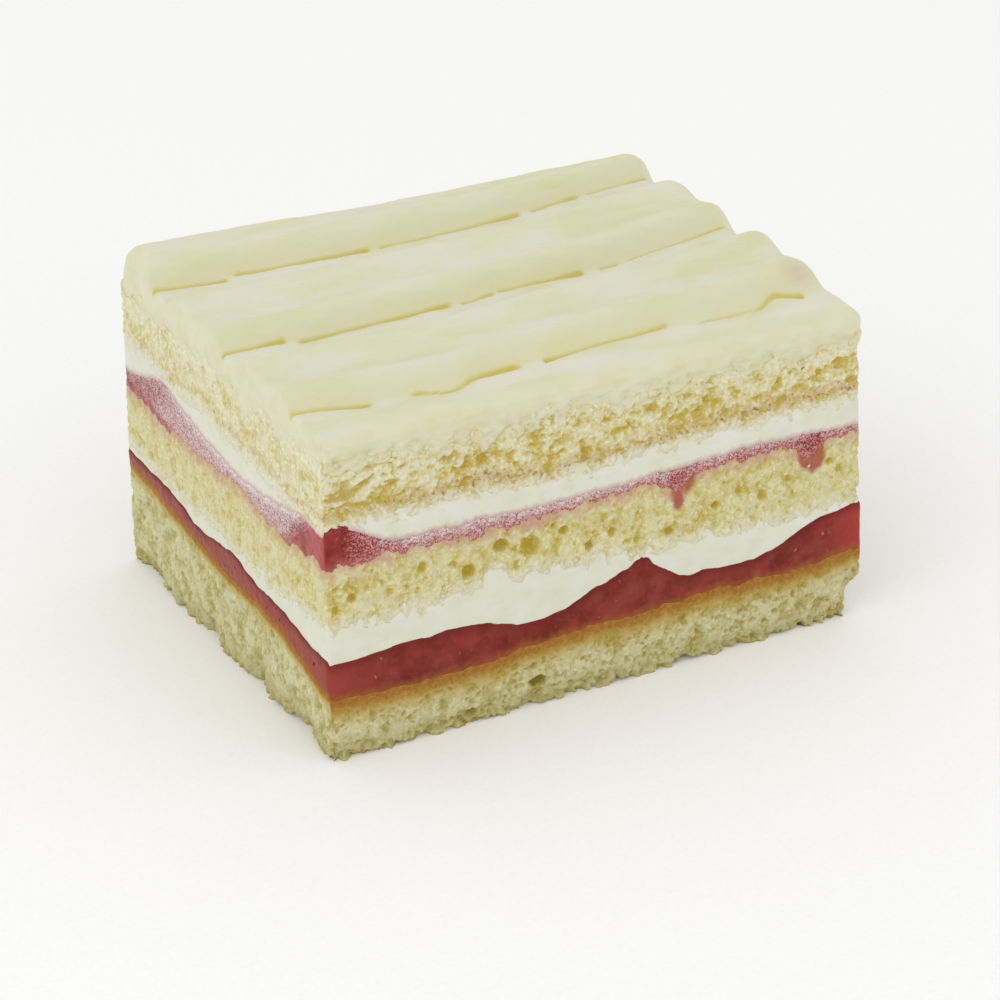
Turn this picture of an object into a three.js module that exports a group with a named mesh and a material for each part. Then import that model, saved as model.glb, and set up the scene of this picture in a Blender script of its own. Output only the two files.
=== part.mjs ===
// A cut block of strawberry shortcake: three sponge layers with strawberry filling and cream
// between them, under a combed icing. Millimetres, +Z up, origin under the middle of the block.

import * as THREE from "three";

// Plan of the block at its foot
const LENGTH = 142.4; // along X, left to right
const DEPTH = 113; // along Y, front to back, at the right-hand end
const BACK_SKEW = 1.5; // how much shorter the left-hand end is
const CORNER_CUT = 1.6; // each upright corner is blunted by this much along both walls

// Each wall leans in by this much at the height given
const LEAN_HEIGHT = 80;
const LEAN = { front: 3.6, right: 3.2, back: 0, left: 0.9 };

// Between layers
const LAYER_GAP = 0.3; // clearance of touching layers
const THINNEST_LAYER = 1.3;
const SWELL_REACH = 16; // how far a swell at a wall runs into the block

// Torn places at the foot of the lowest sponge
const TEAR_REACH = 18; // how far into the block a tear still moves the sponge
const TEAR_FADE = 0.35; // part of a tear's height over which it closes
const TEARS = [
  { side: "left", at: 17, width: 6, height: 8, depth: 2.4 },
  { side: "left", at: 40, width: 4, height: 8, depth: 2.2 },
  { side: "left", at: 66, width: 5, height: 7, depth: 1.8 },
  { side: "left", at: 100, width: 6, height: 6, depth: 2.2 },
  { side: "right", at: 2, width: 26, height: 11, depth: 4.6 },
  { side: "right", at: 78, width: 7, height: 6, depth: 2.2 },
  { side: "back", at: 46, width: 6, height: 7, depth: 2.3 },
  { side: "back", at: 104, width: 6, height: 6, depth: 2 },
];

// Comb marks in the icing: three furrows along X, each with a steep bank behind it
const FURROW_COUNT = 3;
const FURROW_PITCH = 38.5;
const FIRST_FURROW = 12; // from the front, at the left-hand end
const FURROW_DRIFT = 7.5; // how far the furrows wander back by the right-hand end
const DRIFT_POWER = 2.5;
const DRIFT_FADE = 20; // the drift dies out this close to the front and back edges
const BANK_HEIGHT = { left: 4, right: 5.6 };
const BANK_PROFILE = [[0, 0], [6, 1], [15.5, 0.56], [25, 1], [32.5, 0], [FURROW_PITCH, 0]];
const LAST_BANK_FALL = [6, 20]; // the hindmost bank has one crest, then falls over this stretch
const LAST_BANK_REST = { left: 0.85, right: 0.33 }; // to this part of its height
const ICING_DEPTH = 7.8; // at the floor of a furrow
const ICING_TAPER = 2.4; // how far its left-hand wall slopes in by the top
const ICING_EDGE = { front: 2.2, right: 1.6, back: 3, left: 4.4 }; // rounding of its top edges

// Fineness of the mesh
const LONG_STEPS = 34;
const SHORT_STEPS = 26;
const INNER_RING = 0.2; // how far the ring inside a rim lies towards the middle
const ICING_LENGTH_STEPS = 8;
const ICING_WALL_ROWS = 2;
const BANK_STEPS = [0, 2, 4, 6, 10.5, 15.5, 20.5, 25, 29, 32.5]; // columns after each furrow
const EDGE_STEPS = [0, 0.3, 1]; // columns over a rounded edge

// The sides in order round the block, seen from above, and the way each one faces
const SIDES = [
  { name: "front", steps: LONG_STEPS, out: new THREE.Vector3(0, -1, 0) },
  { name: "right", steps: SHORT_STEPS, out: new THREE.Vector3(1, 0, 0) },
  { name: "back", steps: LONG_STEPS, out: new THREE.Vector3(0, 1, 0) },
  { name: "left", steps: SHORT_STEPS, out: new THREE.Vector3(-1, 0, 0) },
];

// A swell lifts or sinks a surface round a place on a wall. Its place is measured along the wall
// from the block's front left corner, or from the front or left end of the hidden walls.
function front(at, width, rise) {
  return { x: at, y: 0, spreadX: width, spreadY: SWELL_REACH, rise };
}

function left(at, width, rise) {
  return { x: 0, y: at, spreadX: SWELL_REACH, spreadY: width, rise };
}

function right(at, width, rise) {
  return { x: LENGTH, y: at, spreadX: SWELL_REACH, spreadY: width, rise };
}

function back(at, width, rise) {
  return { x: at, y: DEPTH, spreadX: width, spreadY: SWELL_REACH, rise };
}

// Surfaces between the layers, from the foot up. Corner heights run front left, front right,
// back right, back left.
const SURFACES = [
  { corners: [0, 0, 0, 0], swells: [] },
  {
    corners: [16.5, 18, 25, 28],
    swells: [front(40, 35, -0.8), left(26, 24, 3), right(60, 20, -1.5), back(70, 30, 1.5)],
  },
  {
    corners: [24.4, 29, 30, 30.2],
    swells: [
      front(48, 6.5, -3.4), front(58, 5.5, -3.4), front(80, 5, 1.8), front(95, 8, -5),
      front(111, 9, -5.6), left(27, 12, 1.4), left(50, 9, 2.3), left(70, 5, -1), left(88, 10, 0.8),
      right(38, 12, -2.6), right(80, 12, 2), back(38, 14, 2), back(96, 14, 2.5),
    ],
  },
  {
    corners: [34.2, 31, 34.5, 32],
    swells: [
      front(33, 10, 1.4), front(41, 4, 3.6), front(51, 4, 2.4), front(60, 4, 2.4), front(70, 4, 2),
      front(90, 5, 1.2), front(116, 5, 1.3), left(35, 14, -0.7), left(70, 12, 0.8),
      right(48, 6, 2.4), right(66, 5, 2.6), back(30, 6, 2), back(72, 9, 3.4),
    ],
  },
  {
    corners: [47.8, 48, 47, 46.6],
    swells: [
      front(45, 30, -1.8), front(90, 3.2, -3.8), front(129, 3.2, -4.8), left(22, 16, -2),
      left(72, 10, -0.8), left(91, 6, -2.2), right(40, 5, -3.2), back(60, 25, -1.2), back(84, 4, -3),
    ],
  },
  {
    corners: [50, 50.3, 52.5, 52],
    swells: [
      { x: 2, y: 8, spreadX: 9.5, spreadY: 18, rise: 6.2 },
      front(60, 30, -0.8), front(110, 9, 0.9), front(134, 4, -0.8), left(66, 14, 2),
      left(88, 12, 6.3), right(58, 16, 3), back(34, 13, 3), back(98, 15, 2.6),
    ],
  },
  {
    corners: [57.2, 57, 60.5, 61.8],
    swells: [front(53, 20, -1.4), left(16, 12, -0.8), left(60, 14, 0.8), right(52, 18, 1), back(70, 20, -1)],
  },
  { corners: [70.8, 70.8, 72.4, 72.4], swells: [] },
];

// Materials of the layers, one made afresh for each mesh
const FOODS = {
  sponge: { color: 0xd9cfa0, roughness: 0.95, metalness: 0 },
  filling: { color: 0x9c3438, roughness: 0.45, metalness: 0 },
  cream: { color: 0xeeece0, roughness: 0.7, metalness: 0 },
  icing: { color: 0xe6e2c6, roughness: 0.6, metalness: 0 },
};

// The layers under the icing, from the foot up; crags is the depth of the relief in their walls
const LAYERS = [
  { name: "sponge_bottom", food: "sponge", rows: 4, crags: 1 },
  { name: "strawberry_lower", food: "filling", rows: 2, crags: 0.3 },
  { name: "cream_lower", food: "cream", rows: 2, crags: 0.2 },
  { name: "sponge_middle", food: "sponge", rows: 4, crags: 1 },
  { name: "strawberry_upper", food: "filling", rows: 2, crags: 0.3 },
  { name: "cream_upper", food: "cream", rows: 2, crags: 0.2 },
  { name: "sponge_top", food: "sponge", rows: 4, crags: 1.2 },
];
const RIM_CRAGS = 0.25; // relief of the rims that two layers share

const { clamp, lerp, mapLinear, smoothstep } = THREE.MathUtils;
const middle = new THREE.Vector2(LENGTH / 2, DEPTH / 2);

// Seeded random numbers from 0 to 1, the same on every run
THREE.MathUtils.seededRandom(1874);

function chance() {
  return THREE.MathUtils.seededRandom();
}

function bell(offset, width) {
  return Math.exp(-((offset / width) ** 2));
}

// Where the back wall stands, so far along the block
function backEdge(x) {
  return DEPTH - BACK_SKEW * (1 - x / LENGTH);
}

// Height of a surface over a place in the plan
function surfaceHeight(index, x, y) {
  const { corners, swells } = SURFACES[index];
  const frontHeight = lerp(corners[0], corners[1], x / LENGTH);
  const backHeight = lerp(corners[3], corners[2], x / LENGTH);
  const plain = lerp(frontHeight, backHeight, y / DEPTH);
  const raised = swells.reduce(
    (height, swell) =>
      height + swell.rise * bell(x - swell.x, swell.spreadX) * bell(y - swell.y, swell.spreadY),
    plain,
  );
  if (index === 0) {
    return raised;
  }
  return Math.max(raised, surfaceHeight(index - 1, x, y) + THINNEST_LAYER);
}

// The point over a place in the plan, moved in by the lean of the walls at its height
function leaned(x, y, z) {
  const part = z / LEAN_HEIGHT;
  return new THREE.Vector3(
    mapLinear(x, 0, LENGTH, LEAN.left * part, LENGTH - LEAN.right * part),
    mapLinear(y, 0, DEPTH, LEAN.front * part, DEPTH - LEAN.back * part),
    z,
  );
}

// How far a tear draws a point of the block inwards
function tornBy(tear, { x, y, z }) {
  const fromSide = { left: x, right: LENGTH - x, back: backEdge(x) - y }[tear.side];
  const along = tear.side === "back" ? x : y;
  const nearness = clamp(1 - fromSide / TEAR_REACH, 0, 1);
  const open = 1 - smoothstep(z, tear.height * (1 - TEAR_FADE), tear.height);
  return tear.depth * bell(along - tear.at, tear.width) * nearness * open;
}

function torn(point) {
  const moved = point.clone();
  for (const tear of TEARS) {
    const side = SIDES.find((candidate) => candidate.name === tear.side);
    moved.addScaledVector(side.out, -tornBy(tear, point));
  }
  return moved;
}

// The plan's outline as one point for each column of the walls, with the way its wall faces
function outline() {
  const corners = [
    new THREE.Vector2(0, 0),
    new THREE.Vector2(LENGTH, 0),
    new THREE.Vector2(LENGTH, backEdge(LENGTH)),
    new THREE.Vector2(0, backEdge(0)),
  ];
  return SIDES.flatMap((side, index) => {
    const from = corners[index];
    const to = corners[(index + 1) % corners.length];
    const cut = CORNER_CUT / from.distanceTo(to);
    return Array.from({ length: side.steps + 1 }, (_, step) => ({
      plan: from.clone().lerp(to, lerp(cut, 1 - cut, step / side.steps)),
      out: side.out,
    }));
  });
}

const columns = outline();

// A ring of points on a surface, drawn in towards the middle by a part of the way
function surfaceRing(index, inward) {
  return columns.map(({ plan, out }) => {
    const place = plan.clone().lerp(middle, inward);
    const height = surfaceHeight(index, place.x, place.y);
    const spot = leaned(place.x, place.y, height);
    if (inward === 0) {
      spot.addScaledVector(out, -RIM_CRAGS * chance());
    }
    return spot;
  });
}

const rims = SURFACES.map((_, index) => surfaceRing(index, 0));
const innerRings = SURFACES.map((_, index) => surfaceRing(index, INNER_RING));

function surfaceMiddle(index) {
  return leaned(middle.x, middle.y, surfaceHeight(index, middle.x, middle.y));
}

function lifted(ring, rise) {
  return ring.map((point) => point.clone().setZ(point.z + rise));
}

// One row of wall points, a part of the way up from the lower rim to the upper one
function wallRow(lower, upper, part, crags) {
  return lower.map((point, index) => {
    const spot = point.clone().lerp(upper[index], part);
    return spot.addScaledVector(columns[index].out, -crags * chance());
  });
}

// A closed solid from rings of points, stacked from its lowest point to its highest. The underside
// is split into triangles like the top of the layer below, so the two stay parallel.
function ringSolid(lowest, rings, highest) {
  const count = rings[0].length;
  const points = [lowest, ...rings.flat(), highest];
  const top = points.length - 1;
  const faces = [];
  for (let column = 0; column < count; column += 1) {
    const next = (column + 1) % count;
    faces.push(0, 1 + next, 1 + column);
    for (let row = 0; row + 1 < rings.length; row += 1) {
      const low = 1 + row * count;
      const high = low + count;
      const [a, b, c, d] = [low + column, low + next, high + next, high + column];
      faces.push(...(row === 0 ? [a, b, d, b, c, d] : [a, b, c, a, c, d]));
    }
    faces.push(top, top - count + column, top - count + next);
  }
  const geometry = new THREE.BufferGeometry().setFromPoints(points);
  geometry.setIndex(faces);
  geometry.computeVertexNormals();
  return geometry;
}

// One layer between two neighbouring surfaces
function layerGeometry(index, { rows, crags }) {
  const underGap = index === 0 ? 0 : LAYER_GAP / 2;
  const overGap = LAYER_GAP / 2;
  const lower = lifted(rims[index], underGap);
  const upper = lifted(rims[index + 1], -overGap);
  const wall = Array.from({ length: rows - 1 }, (_, row) =>
    wallRow(lower, upper, (row + 1) / rows, crags));
  const rings = [
    lifted(innerRings[index], underGap), lower, ...wall, upper, lifted(innerRings[index + 1], -overGap),
  ];
  const lowest = surfaceMiddle(index);
  const highest = surfaceMiddle(index + 1);
  lowest.z += underGap;
  highest.z -= overGap;
  return ringSolid(lowest, rings.map((ring) => ring.map(torn)), highest);
}

// Rise of the comb marks above the floor of a furrow, as a part of the bank's full height
function bankRise(x, across) {
  const offset = across - FIRST_FURROW;
  if (offset <= 0) {
    return 0;
  }
  const within = offset % FURROW_PITCH;
  const isLast = offset >= (FURROW_COUNT - 1) * FURROW_PITCH;
  if (isLast && within > LAST_BANK_FALL[0]) {
    const rest = lerp(LAST_BANK_REST.left, LAST_BANK_REST.right, x / LENGTH);
    return lerp(1, rest, smoothstep(within, ...LAST_BANK_FALL));
  }
  const end = BANK_PROFILE.findIndex(([at]) => at > within);
  const [fromAt, fromRise] = BANK_PROFILE[end - 1];
  const [toAt, toRise] = BANK_PROFILE[end];
  return lerp(fromRise, toRise, smoothstep(within, fromAt, toAt));
}

// Columns of the icing along X and across Y, closer together where the shape turns
function lengthStations() {
  const run = LENGTH - ICING_EDGE.left - ICING_EDGE.right;
  const inner = Array.from({ length: ICING_LENGTH_STEPS - 1 }, (_, step) =>
    ICING_EDGE.left + run * (step + 1) / ICING_LENGTH_STEPS);
  return [
    ...EDGE_STEPS.map((part) => part * ICING_EDGE.left),
    ...inner,
    ...EDGE_STEPS.map((part) => LENGTH - part * ICING_EDGE.right).reverse(),
  ];
}

function depthStations() {
  const banks = Array.from({ length: FURROW_COUNT }, (_, furrow) =>
    BANK_STEPS.map((step) => FIRST_FURROW + furrow * FURROW_PITCH + step)).flat();
  return [
    ...EDGE_STEPS.map((part) => part * ICING_EDGE.front),
    FIRST_FURROW / 2,
    ...banks.filter((station) => station < DEPTH - 2 * ICING_EDGE.back),
    ...EDGE_STEPS.map((part) => DEPTH - part * ICING_EDGE.back).reverse(),
  ];
}

// How far the icing's top falls away at its rounded edges
function edgeDrop(x, across) {
  const distances = { front: across, right: LENGTH - x, back: DEPTH - across, left: x };
  const drops = SIDES.map(({ name }) =>
    ICING_EDGE[name] * clamp(1 - distances[name] / ICING_EDGE[name], 0, 1) ** 2);
  return Math.max(...drops);
}

function icingTop(x, across) {
  const bank = lerp(BANK_HEIGHT.left, BANK_HEIGHT.right, x / LENGTH);
  const floor = surfaceHeight(SURFACES.length - 1, x, across) + ICING_DEPTH;
  return floor + bank * bankRise(x, across) - edgeDrop(x, across);
}

// A place in the icing's plan: furrows drift back along the block and the back edge is skewed
function icingPlace(x, across) {
  const held = smoothstep(across, 0, DRIFT_FADE) * (1 - smoothstep(across, DEPTH - DRIFT_FADE, DEPTH));
  const drift = FURROW_DRIFT * (x / LENGTH) ** DRIFT_POWER * held;
  return new THREE.Vector2(x, across * backEdge(x) / DEPTH + drift);
}

// The icing: a box whose grid follows the comb marks
function icingGeometry() {
  const along = lengthStations();
  const across = depthStations();
  const steps = [along.length - 1, across.length - 1, ICING_WALL_ROWS];
  const geometry = new THREE.BoxGeometry(1, 1, 1, ...steps);
  const position = geometry.getAttribute("position");
  const point = new THREE.Vector3();
  for (let index = 0; index < position.count; index += 1) {
    point.fromBufferAttribute(position, index).addScalar(0.5);
    const x = along[Math.round(point.x * steps[0])];
    const y = across[Math.round(point.y * steps[1])];
    const place = icingPlace(x, y);
    const under = surfaceHeight(SURFACES.length - 1, place.x, place.y) + LAYER_GAP / 2;
    const height = lerp(under, icingTop(x, y), point.z);
    const spot = leaned(place.x, place.y, height);
    const taper = ICING_TAPER * point.z * (1 - x / LENGTH);
    position.setXYZ(index, spot.x + taper, spot.y, spot.z);
  }
  geometry.computeVertexNormals();
  return geometry;
}

// A named mesh whose own origin stands at a level in the block
function layerMesh(name, geometry, food, level) {
  geometry.translate(0, 0, -level);
  const mesh = new THREE.Mesh(geometry, new THREE.MeshStandardMaterial(FOODS[food]));
  mesh.name = name;
  mesh.position.z = level;
  return mesh;
}

const cake = new THREE.Group();
LAYERS.forEach((layer, index) => {
  const level = SURFACES[index].corners[0];
  cake.add(layerMesh(layer.name, layerGeometry(index, layer), layer.food, level));
});
const icingLevel = SURFACES[SURFACES.length - 1].corners[0];
cake.add(layerMesh("icing_top", icingGeometry(), "icing", icingLevel));

// The origin goes under the middle of the finished block
const bounds = new THREE.Box3().setFromObject(cake, true);
const centre = bounds.getCenter(new THREE.Vector3());
cake.position.set(-centre.x, -centre.y, -bounds.min.z);
cake.updateMatrixWorld(true);

export default cake;
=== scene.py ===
"""Looks of a cut block of strawberry shortcake: sponge, strawberry filling, cream and combed icing."""

import bpy
import numpy as np
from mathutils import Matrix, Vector
from mathutils.bvhtree import BVHTree


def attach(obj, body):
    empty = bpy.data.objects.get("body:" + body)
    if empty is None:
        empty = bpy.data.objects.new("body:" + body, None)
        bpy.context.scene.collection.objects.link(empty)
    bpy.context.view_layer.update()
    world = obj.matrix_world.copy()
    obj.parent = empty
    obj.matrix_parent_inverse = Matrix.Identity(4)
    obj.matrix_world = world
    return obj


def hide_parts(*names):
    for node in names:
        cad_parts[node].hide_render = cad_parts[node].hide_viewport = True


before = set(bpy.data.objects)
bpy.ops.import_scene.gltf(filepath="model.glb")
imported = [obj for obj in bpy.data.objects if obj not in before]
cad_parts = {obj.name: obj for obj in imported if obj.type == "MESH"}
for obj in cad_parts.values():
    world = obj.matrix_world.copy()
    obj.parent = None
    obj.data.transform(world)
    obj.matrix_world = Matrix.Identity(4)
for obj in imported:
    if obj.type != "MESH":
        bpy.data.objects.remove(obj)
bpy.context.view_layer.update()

MM = 0.001
chance = np.random.default_rng(1874)

# Plan of the block at its foot and the lean of its walls, in millimetres, as in the part's source
LENGTH = 142.4
DEPTH = 113.0
BACK_SKEW = 1.5
LEAN_HEIGHT = 80.0
LEAN_FRONT = 3.6
LEAN_RIGHT = 3.2
LEAN_LEFT = 0.9

# Walls of the layers
COLUMN_STEP = 0.36
CORNER_ROUNDING = 1.2
BLUR_SPAN = 3  # how many times its reach a blur looks to each side
ROOT_TWO = 1.414
SIDE_TURN = (0.5, 0.9)  # how squarely a column faces a side where it begins to belong to it, and fully does
LOOK_FROM = 200.0  # height from which the tops of the solids are read
LOOK_INSIDE = 2.5  # how far inside the walls they are read
RIM_BLUR = 1.2
WALL_INSET = 0.35  # keeps the crumb inside the solids' walls
CREAM_INSET = 0.5
JAM_INSET = WALL_INSET - 0.1
FROST_INSET = WALL_INSET + 0.15
CAP_INSET = 8.0
SPONGE_STEP = 0.38
FOOT_STEP = 0.44
FROST_STEP = 0.45
SOFT_STEP = 0.5
FRAYED_FOOT = 1.6  # how far up the lowest sponge's lower edge may lie

# How layers meet: how far one runs on behind the other, where it starts to slope in, and how steeply
CRISP = (0.6, 0.0, 0.5)
MINGLED = (3.0, 1.0, 0.2)
SPREAD_OVER = (1.8, 1.4, 0.34)  # cream, which thins out over the crumb beyond its border
RUNS_UNDER = (2.0, 0.0, 0.06)  # crumb, which goes on under the icing
SEEPS_DOWN = (1.6, 0.5, 0.3)  # jam, over the crust below it
SOAKED = (1.6, 0.4, 0.28)  # crumb, whose lumps stand out of the frosted filling
BARE = (0.0, 0.0, 0.0)

# Torn places at the foot of the lowest sponge: side, place along it, width, height and depth
TEAR_REACH = 18.0
TEAR_FADE = 0.35
TEARS = [
    ("left", 17, 6, 8, 2.4), ("left", 40, 4, 8, 2.2), ("left", 66, 5, 7, 1.8), ("left", 100, 6, 6, 2.2),
    ("right", 2, 26, 11, 4.6), ("right", 78, 7, 6, 2.2), ("back", 46, 6, 7, 2.3), ("back", 104, 6, 6, 2.0),
]

# Open pores on the front wall: place along it, height, width, tallness and depth
BOTTOM_PORES = [(53, 6.1, 4.5, 3.2, 2.4), (35.6, 3.0, 3.5, 2.4, 1.6)]
MIDDLE_PORES = [
    (35.9, 38.0, 3.5, 3.5, 1.6), (51.8, 40.2, 5.4, 5.6, 1.6), (44.2, 42.3, 4.2, 3.2, 1.6),
    (7, 39, 2.6, 2.4, 1.6), (3, 37, 2.2, 2.0, 1.4), (60.5, 42, 2.6, 2.4, 1.6), (67, 36.5, 2.4, 2.6, 1.5),
    (73, 38.5, 2.2, 2.2, 1.5), (88.5, 35, 2.6, 2.2, 1.5), (101, 38.4, 2.6, 2.0, 1.3),
    (107.5, 40.6, 2.2, 2.6, 1.3), (114, 37.6, 3.0, 2.2, 1.3), (121, 40.2, 2.2, 2.0, 1.2),
    (133, 42.0, 2.4, 2.0, 1.2),
]
TOP_PORES = [(32, 66.4, 6, 3.4, 1.1), (36, 63.6, 3.4, 2.6, 1.5)]

# Cracks in the front of the top sponge: path as places and heights, width and depth
CRACKS = [
    ([(0.5, 70.2), (4, 69.6), (8, 69.0), (13, 68.4), (19, 69.0)], 1.8, 1.2),
    ([(0.3, 63.0), (4, 62.8), (7.5, 63.1), (10.5, 64.2), (13, 66.4)], 1.9, 1.3),
    ([(2, 60.8), (7.5, 60.1), (12.5, 60.0), (17, 59.8), (21, 61.0)], 1.4, 0.9),
]
CRACK_TAPER = (0.6, 1.0)  # how far a crack runs out beyond its ends, and how far before them it narrows

# Drips from the upper filling down the front: place along it, reach and half width
DRIPS = [(90.8, 3.8, 1.6), (94.0, 1.6, 1.6), (129.2, 3.0, 2.4), (126.0, 1.6, 2.0)]
DRIP_DENT = 0.35  # part of a drip's reach by which the border dips
DRIP_SPREAD = 1.2
NO_DRIP = 9.0

# Relief of the walls
WARP_PER_MM = 0.8
BUBBLE_RADIUS = (0.28, 0.6)  # as parts of the bubble's cell
HOLLOW_RAMP = 0.16
WORN_HEIGHT = 5.0  # how far up the foot of the lowest sponge is worn
TEETH_PER_MM = 0.42
LUMP_LEVELS = (0.7, -0.3)

# Frost on the upper filling, which starts further back on the left where it is lower
FROST_SLANT = 1.6
FROST_SLANT_FROM = 4

# Comb marks in the icing, as in the part's source
FURROW_COUNT = 3
FURROW_PITCH = 38.5
FIRST_FURROW = 12.0
FURROW_DRIFT = 7.5
DRIFT_POWER = 2.5
DRIFT_FADE = 20.0
BANK_LEFT = 4.2
BANK_RIGHT = 4.9
BANK_AT = [0, 6, 15.5, 25, 32.5, FURROW_PITCH]
BANK_RISE = [0, 1, 0.56, 1, 0, 0]
LAST_FALL = (6.0, 20.0)
LAST_REST_LEFT = 1.05
LAST_REST_RIGHT = 0.25
ICING_DEPTH_LEFT = 6.6
ICING_DEPTH_RIGHT = 7.4
LEFT_INSET = 0.3
CORNER_INSET = 1.5
RIGHT_REACH = 3.2
EDGE_FRONT = 2.2
EDGE_RIGHT = 1.6
RIGHT_ROLL = 6.5
RIGHT_FALL = 3.6
EDGE_BACK = 3.0
EDGE_LEFT = 1.0
EDGE_LEFT_BACK = 4.0
ICING_CORNER = 1.8
ICING_FLOOR_FRONT = 70.8
ICING_FLOOR_BACK = 72.4
FRONT_ROLL = 4.0
BACK_SAG = 1.2
SAG_AT = 75.0
SAG_REACH = 40.0
SAG_START = DEPTH - 18
COMB_STEP = 0.1
COMB_SOFTNESS = 2.0
COMB_MARGIN = 10
DRAG_WAVES = 10
LONG_DRAG = (60, 14, 0.12)  # lengths along and across the block, and height
SHORT_DRAG = (14, 5, 0.05)
EDGE_WOBBLE = (30, 9, 0.25)
ICING_WALL_ROWS = 24
HELD_ROWS = 2  # lowest rows of the wall that have no relief
ICING_LAP = 3.6
ICING_PROUD = 0.15
TUCK_FROM = 1.5  # height over the floor at which the wall starts to slope in, and how steeply
TUCK_SLOPE = 0.26
LEFT_CALM = 0.7  # how much straighter the lower edge is on the left
SMUDGE_AT = (137, 14.5)
SMUDGE_SIZE = (3.6, 2.6)

# Furrow strokes: which furrow, their path as places along and across the block, and their width at both ends
STROKES = [
    (0, [(0.4, 14.8), (8, 13.7), (17.4, 10.9)], 0.8, 1.2),
    (0, [(28.8, 10.5), (36.3, 7.9), (44.5, 10.9), (55.1, 11.3)], 0.9, 1.3),
    (0, [(63.1, 10.9), (76.3, 12.2), (96.7, 12.6)], 1.3, 0.8),
    (0, [(104.7, 10.6), (119.9, 9.3), (122.6, 10.2), (125.6, 11.6), (129.1, 11.9), (134.0, 9.9)], 0.5, 1.1),
    (1, [(0.4, 51.0), (14.8, 49.5)], 0.9, 1.3), (1, [(18.7, 48.1), (57.4, 48.9)], 0.9, 1.2),
    (1, [(61.4, 48.3), (69.3, 49.0)], 0.8, 1.0), (1, [(71.5, 49.3), (93.7, 48.3)], 0.7, 1.2),
    (1, [(99.3, 47.9), (103.9, 47.8)], 0.7, 0.8), (1, [(107.8, 48.3), (137.4, 50.7)], 0.5, 0.8),
    (2, [(0.5, 91.2), (18, 88.9)], 0.9, 1.2), (2, [(21.8, 90.4), (55.8, 87.9)], 0.9, 1.2),
    (2, [(59.4, 87.8), (97.9, 86.9)], 0.7, 1.1), (2, [(102.4, 87.0), (116, 88.1)], 0.7, 0.9),
    (2, [(119.5, 88.2), (138.2, 88.6)], 0.5, 0.8),
]
STROKE_DEPTH = 0.55
STROKE_THIN = 0.75  # part of its ends' width that a stroke has between them
STROKE_HALF = 0.68
STROKE_EASE = 1.5
WANDER_EASE = 6
PAINTED_GLOW_FRONT = 1.0  # how far the painted golden glow of a stroke fades out in front of it and behind it
PAINTED_GLOW_BEHIND = 1.5
PAINTED_GLOW_SHARE = 0.6

# Light and camera
# Reach and samples of the occlusion by which a glowing colour is painted into creases
PAINTED_CREASE_GLOW_REACH = 1.2
PAINTED_CREASE_GLOW_SAMPLES = 3
FLOOR_SIZE = 6.0
TENT_LIGHT = 0.92
LAMP_SIZE = 1.2
LAMP_AIM = (0, 0, 0.04)
LAMPS = [("lamp left", (-1.3, -0.6, 1.1), 5.0), ("lamp front", (0.3, -1.5, 0.9), 2.0)]
CAMERA_PLACE = (-311.7, -562.0, 349.35)
CAMERA_WAY = (0.4354, 0.7780, -0.4529)
CAMERA_LENS = 108.0
CAMERA_SENSOR = 36.0


def linear(hex_colour):
    """Turns an sRGB hex colour into linear red, green, blue and alpha."""
    parts = [int(hex_colour[i:i + 2], 16) / 255 for i in (1, 3, 5)]
    return [c / 12.92 if c <= 0.04045 else ((c + 0.055) / 1.055) ** 2.4 for c in parts] + [1.0]


def add(tree, kind, sockets=(), stops=(), **settings):
    """Adds a node with its settings, sets or links its inputs by name or in order, and gives its outputs."""
    node = tree.nodes.new(kind)
    for key, value in settings.items():
        setattr(node, key, value)
    if stops:
        ramp = node.color_ramp
        while len(ramp.elements) < len(stops):
            ramp.elements.new(0.5)
        for element, (place, hex_colour) in zip(ramp.elements, stops):
            element.position = place
            element.color = linear(hex_colour)
    for key, value in sockets.items() if isinstance(sockets, dict) else enumerate(sockets):
        if isinstance(value, bpy.types.NodeSocket):
            tree.links.new(value, node.inputs[key])
        else:
            node.inputs[key].default_value = value
    return node.outputs


def smoothstep(value, low, high):
    part = np.clip((value - low) / (high - low), 0, 1)
    return part * part * (3 - 2 * part)


def bell(offset, width):
    return np.exp(-(offset / width) ** 2)


# Plan and heights


def back_edge(x):
    return DEPTH - BACK_SKEW * (1 - x / LENGTH)


def leaned(x, y, z):
    """Plan points, from the front left corner, moved in by the lean of the walls at their height."""
    part = z / LEAN_HEIGHT
    new_x = LEAN_LEFT * part + x / LENGTH * (LENGTH - (LEAN_LEFT + LEAN_RIGHT) * part)
    new_y = LEAN_FRONT * part + y / DEPTH * (DEPTH - LEAN_FRONT * part)
    return new_x, new_y


def smooth_ring(values, reach):
    """Blurs what runs round the walls, over a reach in millimetres."""
    span = int(BLUR_SPAN * reach / COLUMN_STEP) + 1
    steps = np.arange(-span, span + 1)
    weights = bell(steps * COLUMN_STEP, reach * ROOT_TWO)
    weights /= weights.sum()
    return sum(w * np.roll(values, -step, axis=0) for step, w in zip(steps, weights))


def wall_columns():
    """The block's outline at its foot as evenly spaced columns: their places and their ways out."""
    corners = np.array([(0, 0), (LENGTH, 0), (LENGTH, back_edge(LENGTH)), (0, back_edge(0))])
    sides = []
    for start, end in zip(corners, np.roll(corners, -1, axis=0)):
        count = round(np.linalg.norm(end - start) / COLUMN_STEP)
        sides.append(start + (end - start) * np.linspace(0, 1, count, endpoint=False)[:, None])
    place = smooth_ring(np.concatenate(sides), CORNER_ROUNDING)
    run = np.roll(place, -1, axis=0) - np.roll(place, 1, axis=0)
    run = smooth_ring(run, CORNER_ROUNDING)
    run /= np.linalg.norm(run, axis=1)[:, None]
    return place, np.stack([run[:, 1], -run[:, 0]], axis=1)


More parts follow.
